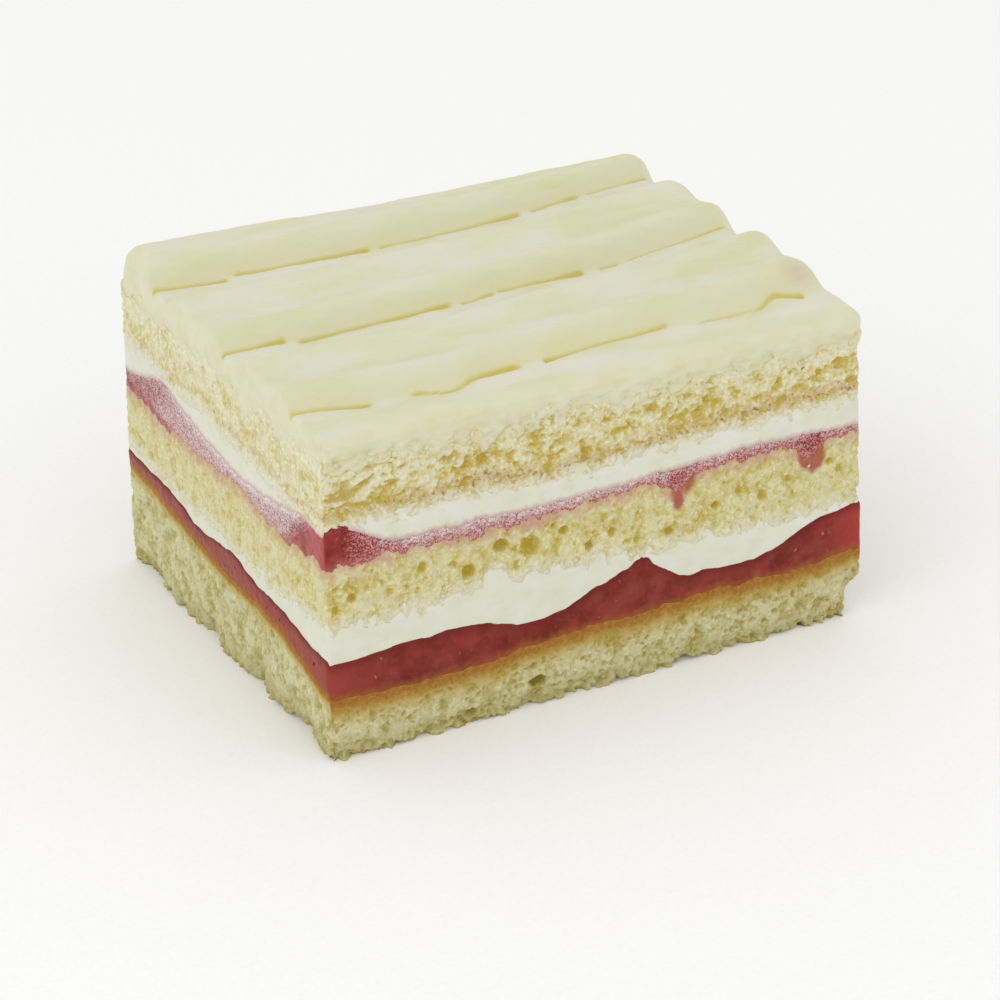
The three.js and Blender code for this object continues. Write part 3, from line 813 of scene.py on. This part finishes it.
def icing_material():
    """Butter icing: smooth and slightly greasy, pale yellow, with painted golden colour round and in its
    furrows for light that comes through there, and painted shade and light on its banks.
    """
    material, tree, place = new_material("butter icing")
    drag = add(tree, "ShaderNodeMapping", {"Vector": place, "Scale": (0.4, 1.0, 1.0)})[0]
    sweep, smear, torn = (patches(tree, vector, size, detail=3.0)
                          for vector, size in ((drag, 1 / 0.14), (drag, 1 / 0.9), (place, 4.5)))
    shade = add(tree, "ShaderNodeMath", [smear, 0.25, sweep], operation="MULTIPLY_ADD")[0]
    bank, painted_glow, furrow, smudge, wall = (
        add(tree, "ShaderNodeAttribute", attribute_name=key)["Fac"]
        for key in ("bank", "painted_glow", "furrow", "smudge", "wall"))
    uneven = add(tree, "ShaderNodeMapRange", [sweep, 0.35, 0.65, 0.1, 0.6])[0]
    bank, smudge = (add(tree, "ShaderNodeMath", pair, operation="MULTIPLY")[0]
                    for pair in ((bank, uneven), (smudge, smear)))
    # Painted shade on the banks behind the furrows, and painted light on the floor in front of them
    shaded, lit = (add(tree, "ShaderNodeMath", [bank, weight], operation="MULTIPLY", use_clamp=True)[0]
                   for weight in (0.65, -1.5))
    torn = painted(tree, torn, [(0.3, "#d5d0aa"), (0.5, "#d7d4b6"), (0.7, "#d9d7bf")])
    # Coats over the icing's tone: painted shade and painted light on the banks, a painted golden glow round
    # the strokes, painted golden shade in their cuts, a pink smudge and the torn walls' own colour
    colour = painted(tree, shade, [(0.45, "#d3d1a9"), (0.62, "#d6d4b7"), (0.82, "#d8d7c5")], [
        (shaded, "#d0ca9d"), (lit, "#dad9cb"), (painted_glow, "#cec586"), (furrow, "#c6b652"), (smudge, "#c9b0a4"),
        (wall, torn)])
    finish_material(tree, painted_crease_glow(tree, colour, "#e2d88e"), (0.55, 1.42, 0.3),
                    (0.4, (1.0, 0.85, 0.5), 0.3), (smear, 0.2, 0.3))
    return material


# Heights between the layers, from the solids
bottom_top, filling_low_top, cream_low_top, middle_top, filling_high_top, cream_high_top, sponge_top_top = (
    rim_heights(node, height) for node, height in (
        ("sponge_bottom", 20), ("strawberry_lower", 27), ("cream_lower", 33), ("sponge_middle", 47),
        ("strawberry_upper", 51), ("cream_upper", 58), ("sponge_top", 71)))

# Finer turns of these borders than the solids have
bottom_top = bottom_top + ripple(0.5, 0.14) + ripple(1.4, 0.16) + ripple(3.0, 0.12) - front_turn(
    [0, 15, 34, 50, 65, 80, 95, 110, 122, 130, 138], [1.6, 2.0, 1.9, 0.9, 0.4, 0.9, 0.5, 0.8, 1.5, 1.5, 0.4])
filling_low_top = filling_low_top + ripple(2.0, 0.12) - front_turn(
    [0, 30, 40, 48, 54, 66, 72, 82, 91, 97, 103, 110, 118, 123, 130, 138],
    [1.0, 0.5, 1.0, 1.8, 1.7, 1.6, 0.2, -0.5, 1.3, 0.4, 1.9, 1.2, 2.3, 2.2, 0.4, 0.0])
filling_low_top += FRONT_PART * 1.2 * smoothstep(ALONG_X, 76, 82.5) * (1 - smoothstep(ALONG_X, 82.5, 84))
cream_low_top = cream_low_top + ripple(0.5, 0.15) + ripple(4.0, 0.3) + 1.1 * np.abs(ripple(1.3, 1.0)) - 1.3
drips = FRONT_PART * sum(
    DRIP_DENT * reach * bell(ALONG_X - at, DRIP_SPREAD * half) for at, reach, half in DRIPS)
middle_top = middle_top + ripple(0.5, 0.25) + ripple(1.6, 0.3) - drips
filling_high_top = filling_high_top + ripple(0.5, 0.12) + ripple(2.0, 0.2) + front_turn(
    [0, 6, 11], [1.8, 1.6, 0.0])
cream_high_top = cream_high_top + ripple(0.5, 0.2) + ripple(2.0, 0.3) - 0.6
sponge_top_top = sponge_top_top + ripple(0.6, 0.3) + ripple(2.0, 0.5) + ripple(6.0, 0.4) + 0.6
sponge_top_top -= 1.8 * LEFT_PART * smoothstep(ALONG_Y, 98, 110)
foot = np.clip(ripple(0.6, 0.4) + ripple(1.8, 0.6) - 0.2, 0, FRAYED_FOOT)

# Materials of this cake

# A sponge has the colours of crumb, painted shade in hollows and in deep pores, painted highlight flecks and
# painted glow in creases. Each of its bands has a colour, whether that goes into pits, the border, patch
# size, raggedness, where full, where gone, strength
# The lowest sponge's crumb, hollow and deep colours are darker and greener than the other sponges': painted
# shade
bottom_crumb = sponge_material(
    "baked sponge, browned on top", ("#c9c69e", "#b1a666", "#938434", "#dbd9be", "#b3a14a"), [
        ("#a5782f", False, "over", 3.0, 14.0, -3.0, -0.6, 0.8),
        # Painted shade: darker and more olive towards the foot, gone 8 mm above it
        ("#978a50", False, "over", 4.0, 4.0, 0.0, 8.0, 0.35),
        ("#b5963f", True, "crust", 1.6, 4.0, 1.4, 8.4, 0.95),
        ("#99622a", True, "crust", 0.9, 6.0, 0.6, 4.2, 0.95),
        ("#c69a48", True, "crust", 1.2, 10.0, -1.2, 2.0, 0.3),
        ("#7f4d1a", True, "crust", 0.8, 12.0, -2.6, 0.4, 0.7)])
middle_crumb = sponge_material(
    "baked sponge", ("#d2cda2", "#c0b164", "#b09632", "#e0dec4", "#e4c84e"), [
        ("#bd8c7e", False, "under", 2.6, 9.0, -1.4, 3.6, 0.75),
        ("#a04039", True, "dripped", 0.9, 2.0, -0.9, 0.9, 0.85),
        ("#d9d8c6", False, "over", 1.0, 4.0, 0.3, 2.4, 0.55)])
top_crumb = sponge_material(
    "baked sponge, torn", ("#d9d6b6", "#c6b568", "#b89532", "#e4e2cc", "#e4ca58"), [
        ("#c4ae80", False, "browned", 1.0, 6.0, 0.6, 3.4, 0.75),
        ("#8e6228", False, "browned", 1.0, 16.0, -2.4, 0.6, 0.85),
        ("#d9d6c1", False, "over", 1.2, 5.0, 0.3, 2.6, 0.85),
        ("#dbd8bb", False, "smeared", 1.3, 7.0, 0.8, 3.8, 0.85)])
whipped_cream_on_jam = cream_material("whipped cream on the lower filling", "#a87471", 1.3)
whipped_cream_on_frost = cream_material("whipped cream on the frosted filling", "#c4a4a0", 3.2)
strawberry_gel = filling_material()
frosted_strawberry = frosted_material()
butter_icing = icing_material()
# Each kind of loose bit has a low and a high colour, the painted glowing colour of its creases, and a
# roughness
loose_crumb = dab_material("loose crumb of sponge", "#bdb47e", "#d8d4b2", "#d9c268", 0.9)
icing_flake = dab_material("flakes of butter icing", "#d6d1a8", "#dbd8c0", "#e8d67c", 0.7)
cream_dab = dab_material("dabs of whipped cream", "#d6d6c2", "#dbdbd0", "#e6dda8", 0.6)
seed_husk = seed_material()

# Layers

relief = relief_tree()
scatter = scatter_tree()

CRUMB = {"Bubble": 2.6, "Bubble share": 0.1, "Small bubble": 1.6, "Small share": 0.2, "Bubble depth": 0.8,
         "Hollow": 4.2, "Hollow from": 0.53, "Hollow depth": 0.7, "Lump": 4.0, "Lump height": 0.6,
         "Fluff": 1.0, "Fluff height": 0.14, "Grain": 1.5, "Grain height": 0.34, "Patch": 5.0, "Calm": 0.25,
         "Wander": 1.8}
SPREAD = {"Lump": 5.0, "Lump height": 0.5, "Fluff": 1.4, "Fluff height": 0.08}

# What differs along the walls
frost_along = (FRONT_PART * np.interp(ALONG_X, [2, 9, 22, 70, 100, 142], [-0.3, 0.2, 0.62, 0.62, 0.5, 0.4])
               + 0.5 * RIGHT_PART + 0.6 * BACK_PART)
blush_along = LEFT_PART * (1 - smoothstep(ALONG_Y, 6, 13))
brown_line = 2.3 + ripple(4.0, 0.5)
smear_reach = 1.0 + FRONT_PART * (1 - smoothstep(ALONG_X, 8, 46)) * 6.0 + ripple(3.0, 0.8)


def from_drips(z, over, under):
    """How far crumb lies from the drips that run down from the upper filling."""
    away = [np.hypot(ALONG_X - at, np.clip(under + drips - reach, 0, None)) - half
            for at, reach, half in DRIPS]
    return np.where(FRONT_PART > 0.5, np.minimum.reduce(away), NO_DRIP)


def frost_at(z, over, under):
    """Frost on the upper filling: thickest at its top edge, with bare gel low down and at a corner."""
    near_top = 1 - smoothstep(under, 0.2, 2.2)
    bare_foot = smoothstep(over, 0.2, 1.8)
    back_left = LEFT_PART * smoothstep(ALONG_Y, 78, 90) * (1 - smoothstep(over, 1.5, 3.5))
    slanted = ALONG_Y + FROST_SLANT * (FROST_SLANT_FROM - under)
    along = frost_along + LEFT_PART * np.interp(slanted, [7, 19, 80, 92, 113], [-0.4, 0.8, 0.8, 0.5, 0.35])
    return (along * (0.75 + 0.35 * near_top) * (0.6 + 0.4 * bare_foot)) * (1 - back_left) - 0.15 * drips


def crust_hold(z, over, under):
    """Relief of the lowest sponge: little in the crust on top of it, and less on the left."""
    return (0.15 + 0.85 * smoothstep(under, 0.8, 4.0)) * (1 - 0.25 * LEFT_PART)


sponge_bottom = layer_piece(
    "sponge_crumb_bottom", foot, bottom_top, FOOT_STEP, BARE, BARE, WALL_INSET,
    bite=[pore(*spot) for spot in BOTTOM_PORES], torn=torn_foot,
    extra={"hold": crust_hold, "crust": lambda z, over, under: under * (1 + 0.8 * LEFT_PART)})
grown(sponge_bottom, relief, bottom_crumb, {
    **CRUMB, "Hollow from": 0.5, "Hollow depth": 0.9, "Grain height": 0.45, "Small share": 0.28,
    "Foot wear": 2.0, "Seed": 11.0})

filling_low = layer_piece(
    "strawberry_filling_lower", bottom_top, filling_low_top, SOFT_STEP, SEEPS_DOWN, CRISP, JAM_INSET)
grown(filling_low, relief, strawberry_gel, {
    "Lump": 4.0, "Lump height": 0.4, "Fluff": 1.2, "Fluff height": 0.1, "Seed": 21.0})

cream_low = layer_piece(
    "whipped_cream_lower", filling_low_top, cream_low_top, SOFT_STEP, BARE, SPREAD_OVER, CREAM_INSET)
grown(cream_low, relief, whipped_cream_on_jam, {**SPREAD, "Seed": 31.0})

sponge_middle = layer_piece(
    "sponge_crumb_middle", cream_low_top, middle_top, SPONGE_STEP,
    under_cream(filling_low_top, cream_low_top), SOAKED, WALL_INSET,
    bite=[pore(*spot) for spot in MIDDLE_PORES],
    extra={"hold": lambda z, over, under: 1 - 0.35 * LEFT_PART, "dripped": from_drips})
grown(sponge_middle, relief, middle_crumb, {**CRUMB, "Seed": 41.0})

filling_high = layer_piece(
    "strawberry_filling_upper", middle_top, filling_high_top, FROST_STEP, MINGLED, CRISP, FROST_INSET,
    extra={"frost": frost_at, "blush": lambda z, over, under: blush_along})
grown(filling_high, relief, frosted_strawberry, {
    "Lump": 2.4, "Lump height": 0.6, "Fluff": 0.8, "Fluff height": 0.2, "Seed": 51.0})

cream_high = layer_piece(
    "whipped_cream_upper", filling_high_top, cream_high_top, SOFT_STEP, BARE, SPREAD_OVER, CREAM_INSET)
grown(cream_high, relief, whipped_cream_on_frost, {**SPREAD, "Seed": 61.0})

sponge_top = layer_piece(
    "sponge_crumb_top", cream_high_top, sponge_top_top, SPONGE_STEP,
    under_cream(filling_high_top, cream_high_top), RUNS_UNDER, WALL_INSET,
    bite=[crack(*line) for line in CRACKS] + [pore(*spot) for spot in TOP_PORES],
    extra={"smeared": lambda z, over, under: under - smear_reach,
           "hold": lambda z, over, under: 1 - 0.62 * LEFT_PART,
           "browned": lambda z, over, under: np.abs(over - brown_line) + 1.5 * (1 - FRONT_PART)})
grown(sponge_top, relief, top_crumb, {
    **CRUMB, "Hollow from": 0.5, "Hollow depth": 1.2, "Lump": 3.0, "Lump height": 1.1, "Calm": 0.6,
    "Stretch": 1.3, "Seed": 71.0})

# Icing


def icing_stations(edges, fine, coarse, places=(), reach=0.0, finest=0.25):
    """Columns across the icing, closer together at its edges and near the places given."""
    length, low_edge, high_edge = edges
    stations = [0.0]
    while stations[-1] < length:
        at = stations[-1]
        near_edge = at < low_edge or at > length - high_edge
        near_place = any(abs(at - place) < reach for place in places)
        stations.append(at + (finest if near_place else fine if near_edge else coarse))
    stations = np.array(stations)
    return stations * length / stations[-1]


def bank_rise(across, rest):
    """Rise of the comb marks over the floor of a furrow, softened, as a part of the bank's full height."""
    fine = np.arange(-COMB_MARGIN, DEPTH + COMB_MARGIN, COMB_STEP)
    offset = fine - FIRST_FURROW
    within = np.where(offset > 0, offset % FURROW_PITCH, 0)
    rise = np.zeros_like(within)
    for at, to_at, low, high in zip(BANK_AT, BANK_AT[1:], BANK_RISE, BANK_RISE[1:]):
        inside = (within >= at) & (within < to_at)
        rise = np.where(inside, low + (high - low) * smoothstep(within, at, to_at), rise)
    fallen = 1 + (rest - 1) * smoothstep(within, *LAST_FALL)
    is_last = (offset >= (FURROW_COUNT - 1) * FURROW_PITCH) & (within > LAST_FALL[0])
    rise = np.where(is_last, fallen, rise)
    kernel = bell(np.arange(-5, 5, COMB_STEP), COMB_SOFTNESS)
    return np.interp(across, fine, np.convolve(rise, kernel / kernel.sum(), "same"))


def drag_waves(x, y, long_wave, cross_wave, height):
    """Soft seeded waves left in the icing, longer along the block than across it."""
    total = np.zeros_like(x)
    for _ in range(DRAG_WAVES):
        lengths = chance.uniform(0.6, 1.6, 2) * (long_wave, cross_wave)
        turn = chance.uniform(0, 2 * np.pi)
        way = chance.choice([-1, 1])
        total += np.sin(2 * np.pi * (x / lengths[0] + way * y / lengths[1]) + turn)
    return total * height / np.sqrt(DRAG_WAVES / 2)


def stroke_line(path, x, ease):
    """How far across the block a path lies, eased over a length."""
    places, lines = zip(*path)
    return sum(np.interp(x + step, places, lines) for step in (-ease, 0, ease)) / 3


def furrow_wander(x, across):
    """How far the comb strayed from even furrows, carried over to the banks between them."""
    total = np.zeros_like(x)
    for furrow in range(FURROW_COUNT):
        base = FIRST_FURROW + furrow * FURROW_PITCH
        path = sum((stroke[1] for stroke in STROKES if stroke[0] == furrow), [])
        nearness = np.clip(1 - np.abs(across - base) / FURROW_PITCH, 0, 1)
        total += (stroke_line(path, x, WANDER_EASE) - base) * nearness
    return total


def stroke_cut(x, across):
    """How deep the furrow strokes cut, and how far the painted golden colour round them reaches into the
    icing.
    """
    cut = np.zeros_like(x)
    painted_glow = np.zeros_like(x)
    for _, path, first_width, last_width in STROKES:
        start, end = path[0][0], path[-1][0]
        part = np.clip((x - start) / (end - start), 0, 1)
        thin = STROKE_THIN * min(first_width, last_width)
        width = thin + (first_width - thin) * (1 - part) ** 8 + (last_width - thin) * part ** 2
        beyond = np.maximum(start - x, 0) + np.maximum(x - end, 0)
        aside = across - stroke_line(path, x, STROKE_EASE)
        away = np.hypot(aside, beyond)
        open_here = 1 - smoothstep(away / (STROKE_HALF * width), 0.35, 1.2)
        cut = np.maximum(cut, open_here * np.clip(width, 0.45, 1.2))
        reach = np.where(aside > 0, PAINTED_GLOW_BEHIND, PAINTED_GLOW_FRONT)
        painted_glow = np.maximum(painted_glow, PAINTED_GLOW_SHARE * np.exp(-away / reach) * np.clip(width, 0.5, 1.0))
    return cut, painted_glow


def bank_shade(x, across):
    """Painted shade where a bank rises behind a furrow, which is yellower, against painted light on the
    floor in front of it, which is brighter.
    """
    offset = across - furrow_wander(x, across) - FIRST_FURROW
    away = (offset + FURROW_PITCH / 2) % FURROW_PITCH - FURROW_PITCH / 2
    behind = smoothstep(away, -0.5, 1.0) * (1 - smoothstep(away, 2.0, 9.0))
    before = smoothstep(away, -9.0, -2.5) * (1 - smoothstep(away, -1.0, 0.2))
    return (behind - before) * (offset > -FURROW_PITCH / 2)


def rolled(away, reach):
    """How far an edge is rolled down, from none at a reach inside it to all at the edge."""
    return np.clip(1 - away / reach, 0, 1) ** 2


def icing_surface(x, across):
    """The icing's top: height, place in the plan, floor under it, fall at its edges, cut and painted golden
    colour.
    """
    held = smoothstep(across, 0, DRIFT_FADE) * (1 - smoothstep(across, DEPTH - DRIFT_FADE, DEPTH))
    run = x / LENGTH
    plan_y = across * back_edge(x) / DEPTH + FURROW_DRIFT * run ** DRIFT_POWER * held
    combed = across - furrow_wander(x, across)
    rise = bank_rise(combed, LAST_REST_LEFT) * (1 - run) + bank_rise(combed, LAST_REST_RIGHT) * run
    bank = BANK_LEFT + (BANK_RIGHT - BANK_LEFT) * run
    under = ICING_FLOOR_FRONT + (ICING_FLOOR_BACK - ICING_FLOOR_FRONT) * plan_y / DEPTH
    cut, painted_glow = stroke_cut(x, across)
    depth = ICING_DEPTH_LEFT + (ICING_DEPTH_RIGHT - ICING_DEPTH_LEFT) * run
    height = under + depth + bank * rise - STROKE_DEPTH * cut
    height += drag_waves(x, across, *LONG_DRAG) + drag_waves(x, across, *SHORT_DRAG)
    height -= BACK_SAG * bell(x - SAG_AT, SAG_REACH) * smoothstep(across, SAG_START, DEPTH)
    wobble = drag_waves(x, across, *EDGE_WOBBLE)
    edge_left = EDGE_LEFT + wobble + EDGE_LEFT_BACK * smoothstep(across, DEPTH - 19, DEPTH - 7)
    from_right = LENGTH - x
    drop = np.maximum.reduce([
        EDGE_FRONT * rolled(across, FRONT_ROLL),
        EDGE_RIGHT * rolled(from_right, EDGE_RIGHT)
        + RIGHT_FALL * smoothstep(across, 6, 26) * rolled(from_right, RIGHT_ROLL),
        EDGE_BACK * rolled(DEPTH - across, EDGE_BACK),
        edge_left * rolled(x, edge_left)])
    return height - drop, plan_y, under, drop, cut, painted_glow


def left_inset(x, y):
    """How far the icing's left wall stands in from the sponge's, most at the back."""
    return (LEFT_INSET + CORNER_INSET * smoothstep(y, DEPTH - 25, DEPTH - 7)) * (1 - x / LENGTH)


def right_reach(x, y):
    """How far the icing's right wall reaches out towards the back."""
    return RIGHT_REACH * (x / LENGTH) ** 2 * smoothstep(y, 12, 45)


def rounded_corners(x, y):
    """Pulls plan points of the icing in at its four corners."""
    for left in (True, False):
        for near in (True, False):
            a = (ICING_CORNER - x) if left else (x - (LENGTH - ICING_CORNER))
            b = (ICING_CORNER - y) if near else (y - (back_edge(x) - ICING_CORNER))
            inside = (a > 0) & (b > 0)
            shrink = np.where(inside, np.maximum(a, b) / np.maximum(np.hypot(a, b), 1e-9), 1)
            x = np.where(inside, x + (a - a * shrink) * (1 if left else -1), x)
            y = np.where(inside, y + (b - b * shrink) * (1 if near else -1), y)
    return x, y


def icing_piece():
    """The icing: its combed top, its walls and their torn lower edge, as one closed mesh."""
    along = icing_stations((LENGTH, 4.5, 3.0), 0.35, 0.8)
    furrows = [FIRST_FURROW + k * FURROW_PITCH for k in range(FURROW_COUNT)]
    across = icing_stations((DEPTH, 4.0, 4.0), 0.35, 0.7, furrows, 2.8)
    x, v = np.meshgrid(along, across, indexing="ij")
    height, plan_y, under, drop, cut, painted_glow = icing_surface(x, v)
    plan_x, plan_y = rounded_corners(x, plan_y)
    lx, ly = leaned(plan_x, plan_y, height)
    lx += left_inset(x, plan_y) + right_reach(x, plan_y)
    top = np.stack([lx, ly, height], axis=-1)
    index = np.arange(x.size).reshape(x.shape)
    border = np.concatenate([index[:-1, 0], index[-1, :-1], index[:0:-1, -1], index[0, :0:-1]])
    flat_x, flat_y, rim_z, base_z = (field.ravel()[border] for field in (plan_x, plan_y, height, under))
    count = len(border)
    edge = np.stack([np.roll(flat_y, -1) - np.roll(flat_y, 1),
                     np.roll(flat_x, 1) - np.roll(flat_x, -1)], axis=1)
    edge /= np.linalg.norm(edge, axis=1)[:, None]
    column = np.argmin(np.hypot(flat_x[:, None] - ALONG_X, flat_y[:, None] - ALONG_Y), axis=1)
    calmer = 1 - LEFT_CALM * LEFT_PART
    tongue = (ripple(0.7, 0.7) * calmer + ripple(2.2, 0.9) + ripple(6.0, 0.5))[column] - 0.6
    lap = ICING_LAP + np.clip(tongue, 0, None)
    walls = []
    frays = []
    for row in range(1, ICING_WALL_ROWS + 1):
        part = row / ICING_WALL_ROWS
        z = rim_z + (base_z - lap - rim_z) * part
        proud = ICING_PROUD - TUCK_SLOPE * np.clip(base_z + TUCK_FROM - tongue - z, 0, None)
        wx, wy = leaned(flat_x + edge[:, 0] * proud, flat_y + edge[:, 1] * proud, z)
        wx += left_inset(flat_x, flat_y) * (1 - 0.9 * part) + right_reach(flat_x, flat_y) * (1 - part)
        frays.append(smoothstep(base_z + 4 - z, 0, 3) * calmer[column])
        walls.append(np.stack([wx, wy, z], axis=1))
    points = np.concatenate([top.reshape(-1, 3), *walls])
    quads = np.stack([index[:-1, :-1], index[1:, :-1], index[1:, 1:], index[:-1, 1:]], axis=-1)
    quads = quads.reshape(-1, 4).tolist()
    rings = [border] + [x.size + row * count + np.arange(count) for row in range(ICING_WALL_ROWS)]
    for upper, lower in zip(rings, rings[1:]):
        quads += np.stack([lower, np.roll(lower, -1), np.roll(upper, -1), upper], axis=1).tolist()
    quads.append(rings[-1][::-1].tolist())
    side = np.tile(np.concatenate([edge, np.zeros((count, 1))], axis=1), (ICING_WALL_ROWS, 1))
    up = np.tile([0.0, 0.0, 1.0], (x.size, 1))
    plain = np.zeros(ICING_WALL_ROWS * count)
    relieved = np.repeat(np.arange(ICING_WALL_ROWS) < ICING_WALL_ROWS - HELD_ROWS, count)
    smudge = bell(np.hypot((x - SMUDGE_AT[0]) / SMUDGE_SIZE[0], (v - SMUDGE_AT[1]) / SMUDGE_SIZE[1]), 1.0)
    attributes = {"outward": np.concatenate([up, side]), "bite": np.zeros(len(points))}
    # The strokes' cut and the painted golden glow round them, and the banks' painted shade and painted
    # light, go to the material
    for key, on_top, on_walls in (
            ("hold", np.ones(x.size), relieved), ("fray", np.zeros(x.size), np.concatenate(frays)),
            ("furrow", cut, plain), ("painted_glow", painted_glow, plain), ("wall", smoothstep(drop, 0.2, 1.6), plain + 1),
            ("bank", bank_shade(x, v), plain), ("smudge", smudge, plain)):
        attributes[key] = np.concatenate([on_top.ravel(), on_walls])
    return mesh_object("icing_combed", points, quads, attributes)


icing = icing_piece()
grown(icing, relief, butter_icing, {
    "Lump": 5.0, "Lump height": 0.3, "Fluff": 1.4, "Fluff height": 0.08, "Fray": 2.4, "Fray height": 0.85,
    "Seed": 81.0})

# Loose bits on the cut faces


def crumbs_on(spots, over, under):
    """Crumbs lie between the borders, and further from the crust on the lowest sponge."""
    return smoothstep(over, 1.2, 2.2) * smoothstep(under - 6.0 * (spots[:, 2] < 20), 1.2, 2.2)


def flakes_on(spots, over, under):
    """Flakes of icing lie below the icing, few on the left wall and most near the corner in front."""
    x, y = spots[:, 0], spots[:, 1]
    share = 1 - 0.9 * (x < 6) * (y > 8) + 0.7 * (x < 45) * (y < 4)
    return bell(under - 1.6, 2.2) * (under > -0.4) * share


def dabs_on(spots, over, under):
    """Dabs of cream lie above the cream's border."""
    return bell(over - 1.0, 1.2) * (over > -0.6)


def seeds_on(spots, over, under):
    """Seeds lie in the filling, clear of its borders."""
    return smoothstep(over, 1.2, 2.0) * smoothstep(under, 0.6, 1.0)


crumbs = sprinkled("sponge_crumbs", [sponge_bottom, sponge_middle, sponge_top], loose_crumb, {
    "Bits per square mm": 0.1, "Smallest": 0.5, "Largest": 1.5, "Flatness": 0.5, "Roughness": 0.8,
    "Sunk": 0.2, "Seed": 5}, crumbs_on)
flakes = sprinkled("icing_flakes", [sponge_top], icing_flake, {
    "Bits per square mm": 0.25, "Smallest": 0.8, "Largest": 3.3, "Flatness": 0.32, "Roughness": 0.6,
    "Sunk": 0.3, "Roundness": 2, "Seed": 25}, flakes_on)
dabs = sprinkled("cream_dabs", [sponge_middle], cream_dab, {
    "Bits per square mm": 0.12, "Smallest": 0.6, "Largest": 2.0, "Flatness": 0.34, "Roughness": 0.5,
    "Sunk": 0.25, "Roundness": 2, "Seed": 35}, dabs_on)
seeds = sprinkled("strawberry_seeds", [filling_low], seed_husk, {
    "Bits per square mm": 0.022, "Smallest": 0.5, "Largest": 0.85, "Length": 1.6, "Flatness": 0.6,
    "Roughness": 0.15, "Sunk": 0.1, "Roundness": 2, "Seed": 9}, seeds_on)

# Pieces and the frame
for bits, slot in ((crumbs, "sponge"), (flakes, "icing"), (dabs, "cream"), (seeds, "filling")):
    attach(bits, "root")

for piece, node, slot in (
        (sponge_bottom, "sponge_bottom", "sponge"), (filling_low, "strawberry_lower", "filling"),
        (cream_low, "cream_lower", "cream"), (sponge_middle, "sponge_middle", "sponge"),
        (filling_high, "strawberry_upper", "filling"), (cream_high, "cream_upper", "cream"),
        (sponge_top, "sponge_top", "sponge"), (icing, "icing_top", "icing")):
    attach(piece, "root")
    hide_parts(node)

# Studio


def studio():
    """A pale floor, soft light from all round, broad lamps at the left and in front, and the camera."""
    scene = bpy.context.scene
    bpy.ops.mesh.primitive_plane_add(size=FLOOR_SIZE)
    floor = bpy.context.object
    floor.name = "studio_floor"
    paper, tree, place = new_material("white paper")
    tooth = patches(tree, place, 1.25)
    finish_material(tree, painted(tree, tooth, [(0.3, "#f6f6f5"), (0.7, "#f9f9f8")]), (0.9,))
    floor.data.materials.append(paper)
    world = bpy.data.worlds.new("light tent")
    world.use_nodes = True
    scene.world = world
    sky = world.node_tree.nodes["Background"].inputs
    sky["Color"].default_value = linear("#ffffff")
    sky["Strength"].default_value = TENT_LIGHT
    for name, place, power in LAMPS:
        lamp = bpy.data.lights.new(name, "AREA")
        lamp.size = LAMP_SIZE
        lamp.energy = power
        holder = bpy.data.objects.new(name, lamp)
        holder.location = place
        holder.rotation_euler = (Vector(LAMP_AIM) - Vector(place)).to_track_quat("-Z", "Y").to_euler()
        scene.collection.objects.link(holder)
    lens = bpy.data.cameras.new("camera")
    lens.sensor_width = CAMERA_SENSOR
    lens.lens = CAMERA_LENS
    camera = bpy.data.objects.new("camera", lens)
    camera.location = Vector(CAMERA_PLACE) * MM
    camera.rotation_euler = Vector(CAMERA_WAY).to_track_quat("-Z", "Y").to_euler()
    scene.collection.objects.link(camera)
    scene.camera = camera
    scene.view_settings.view_transform = "Standard"


studio()
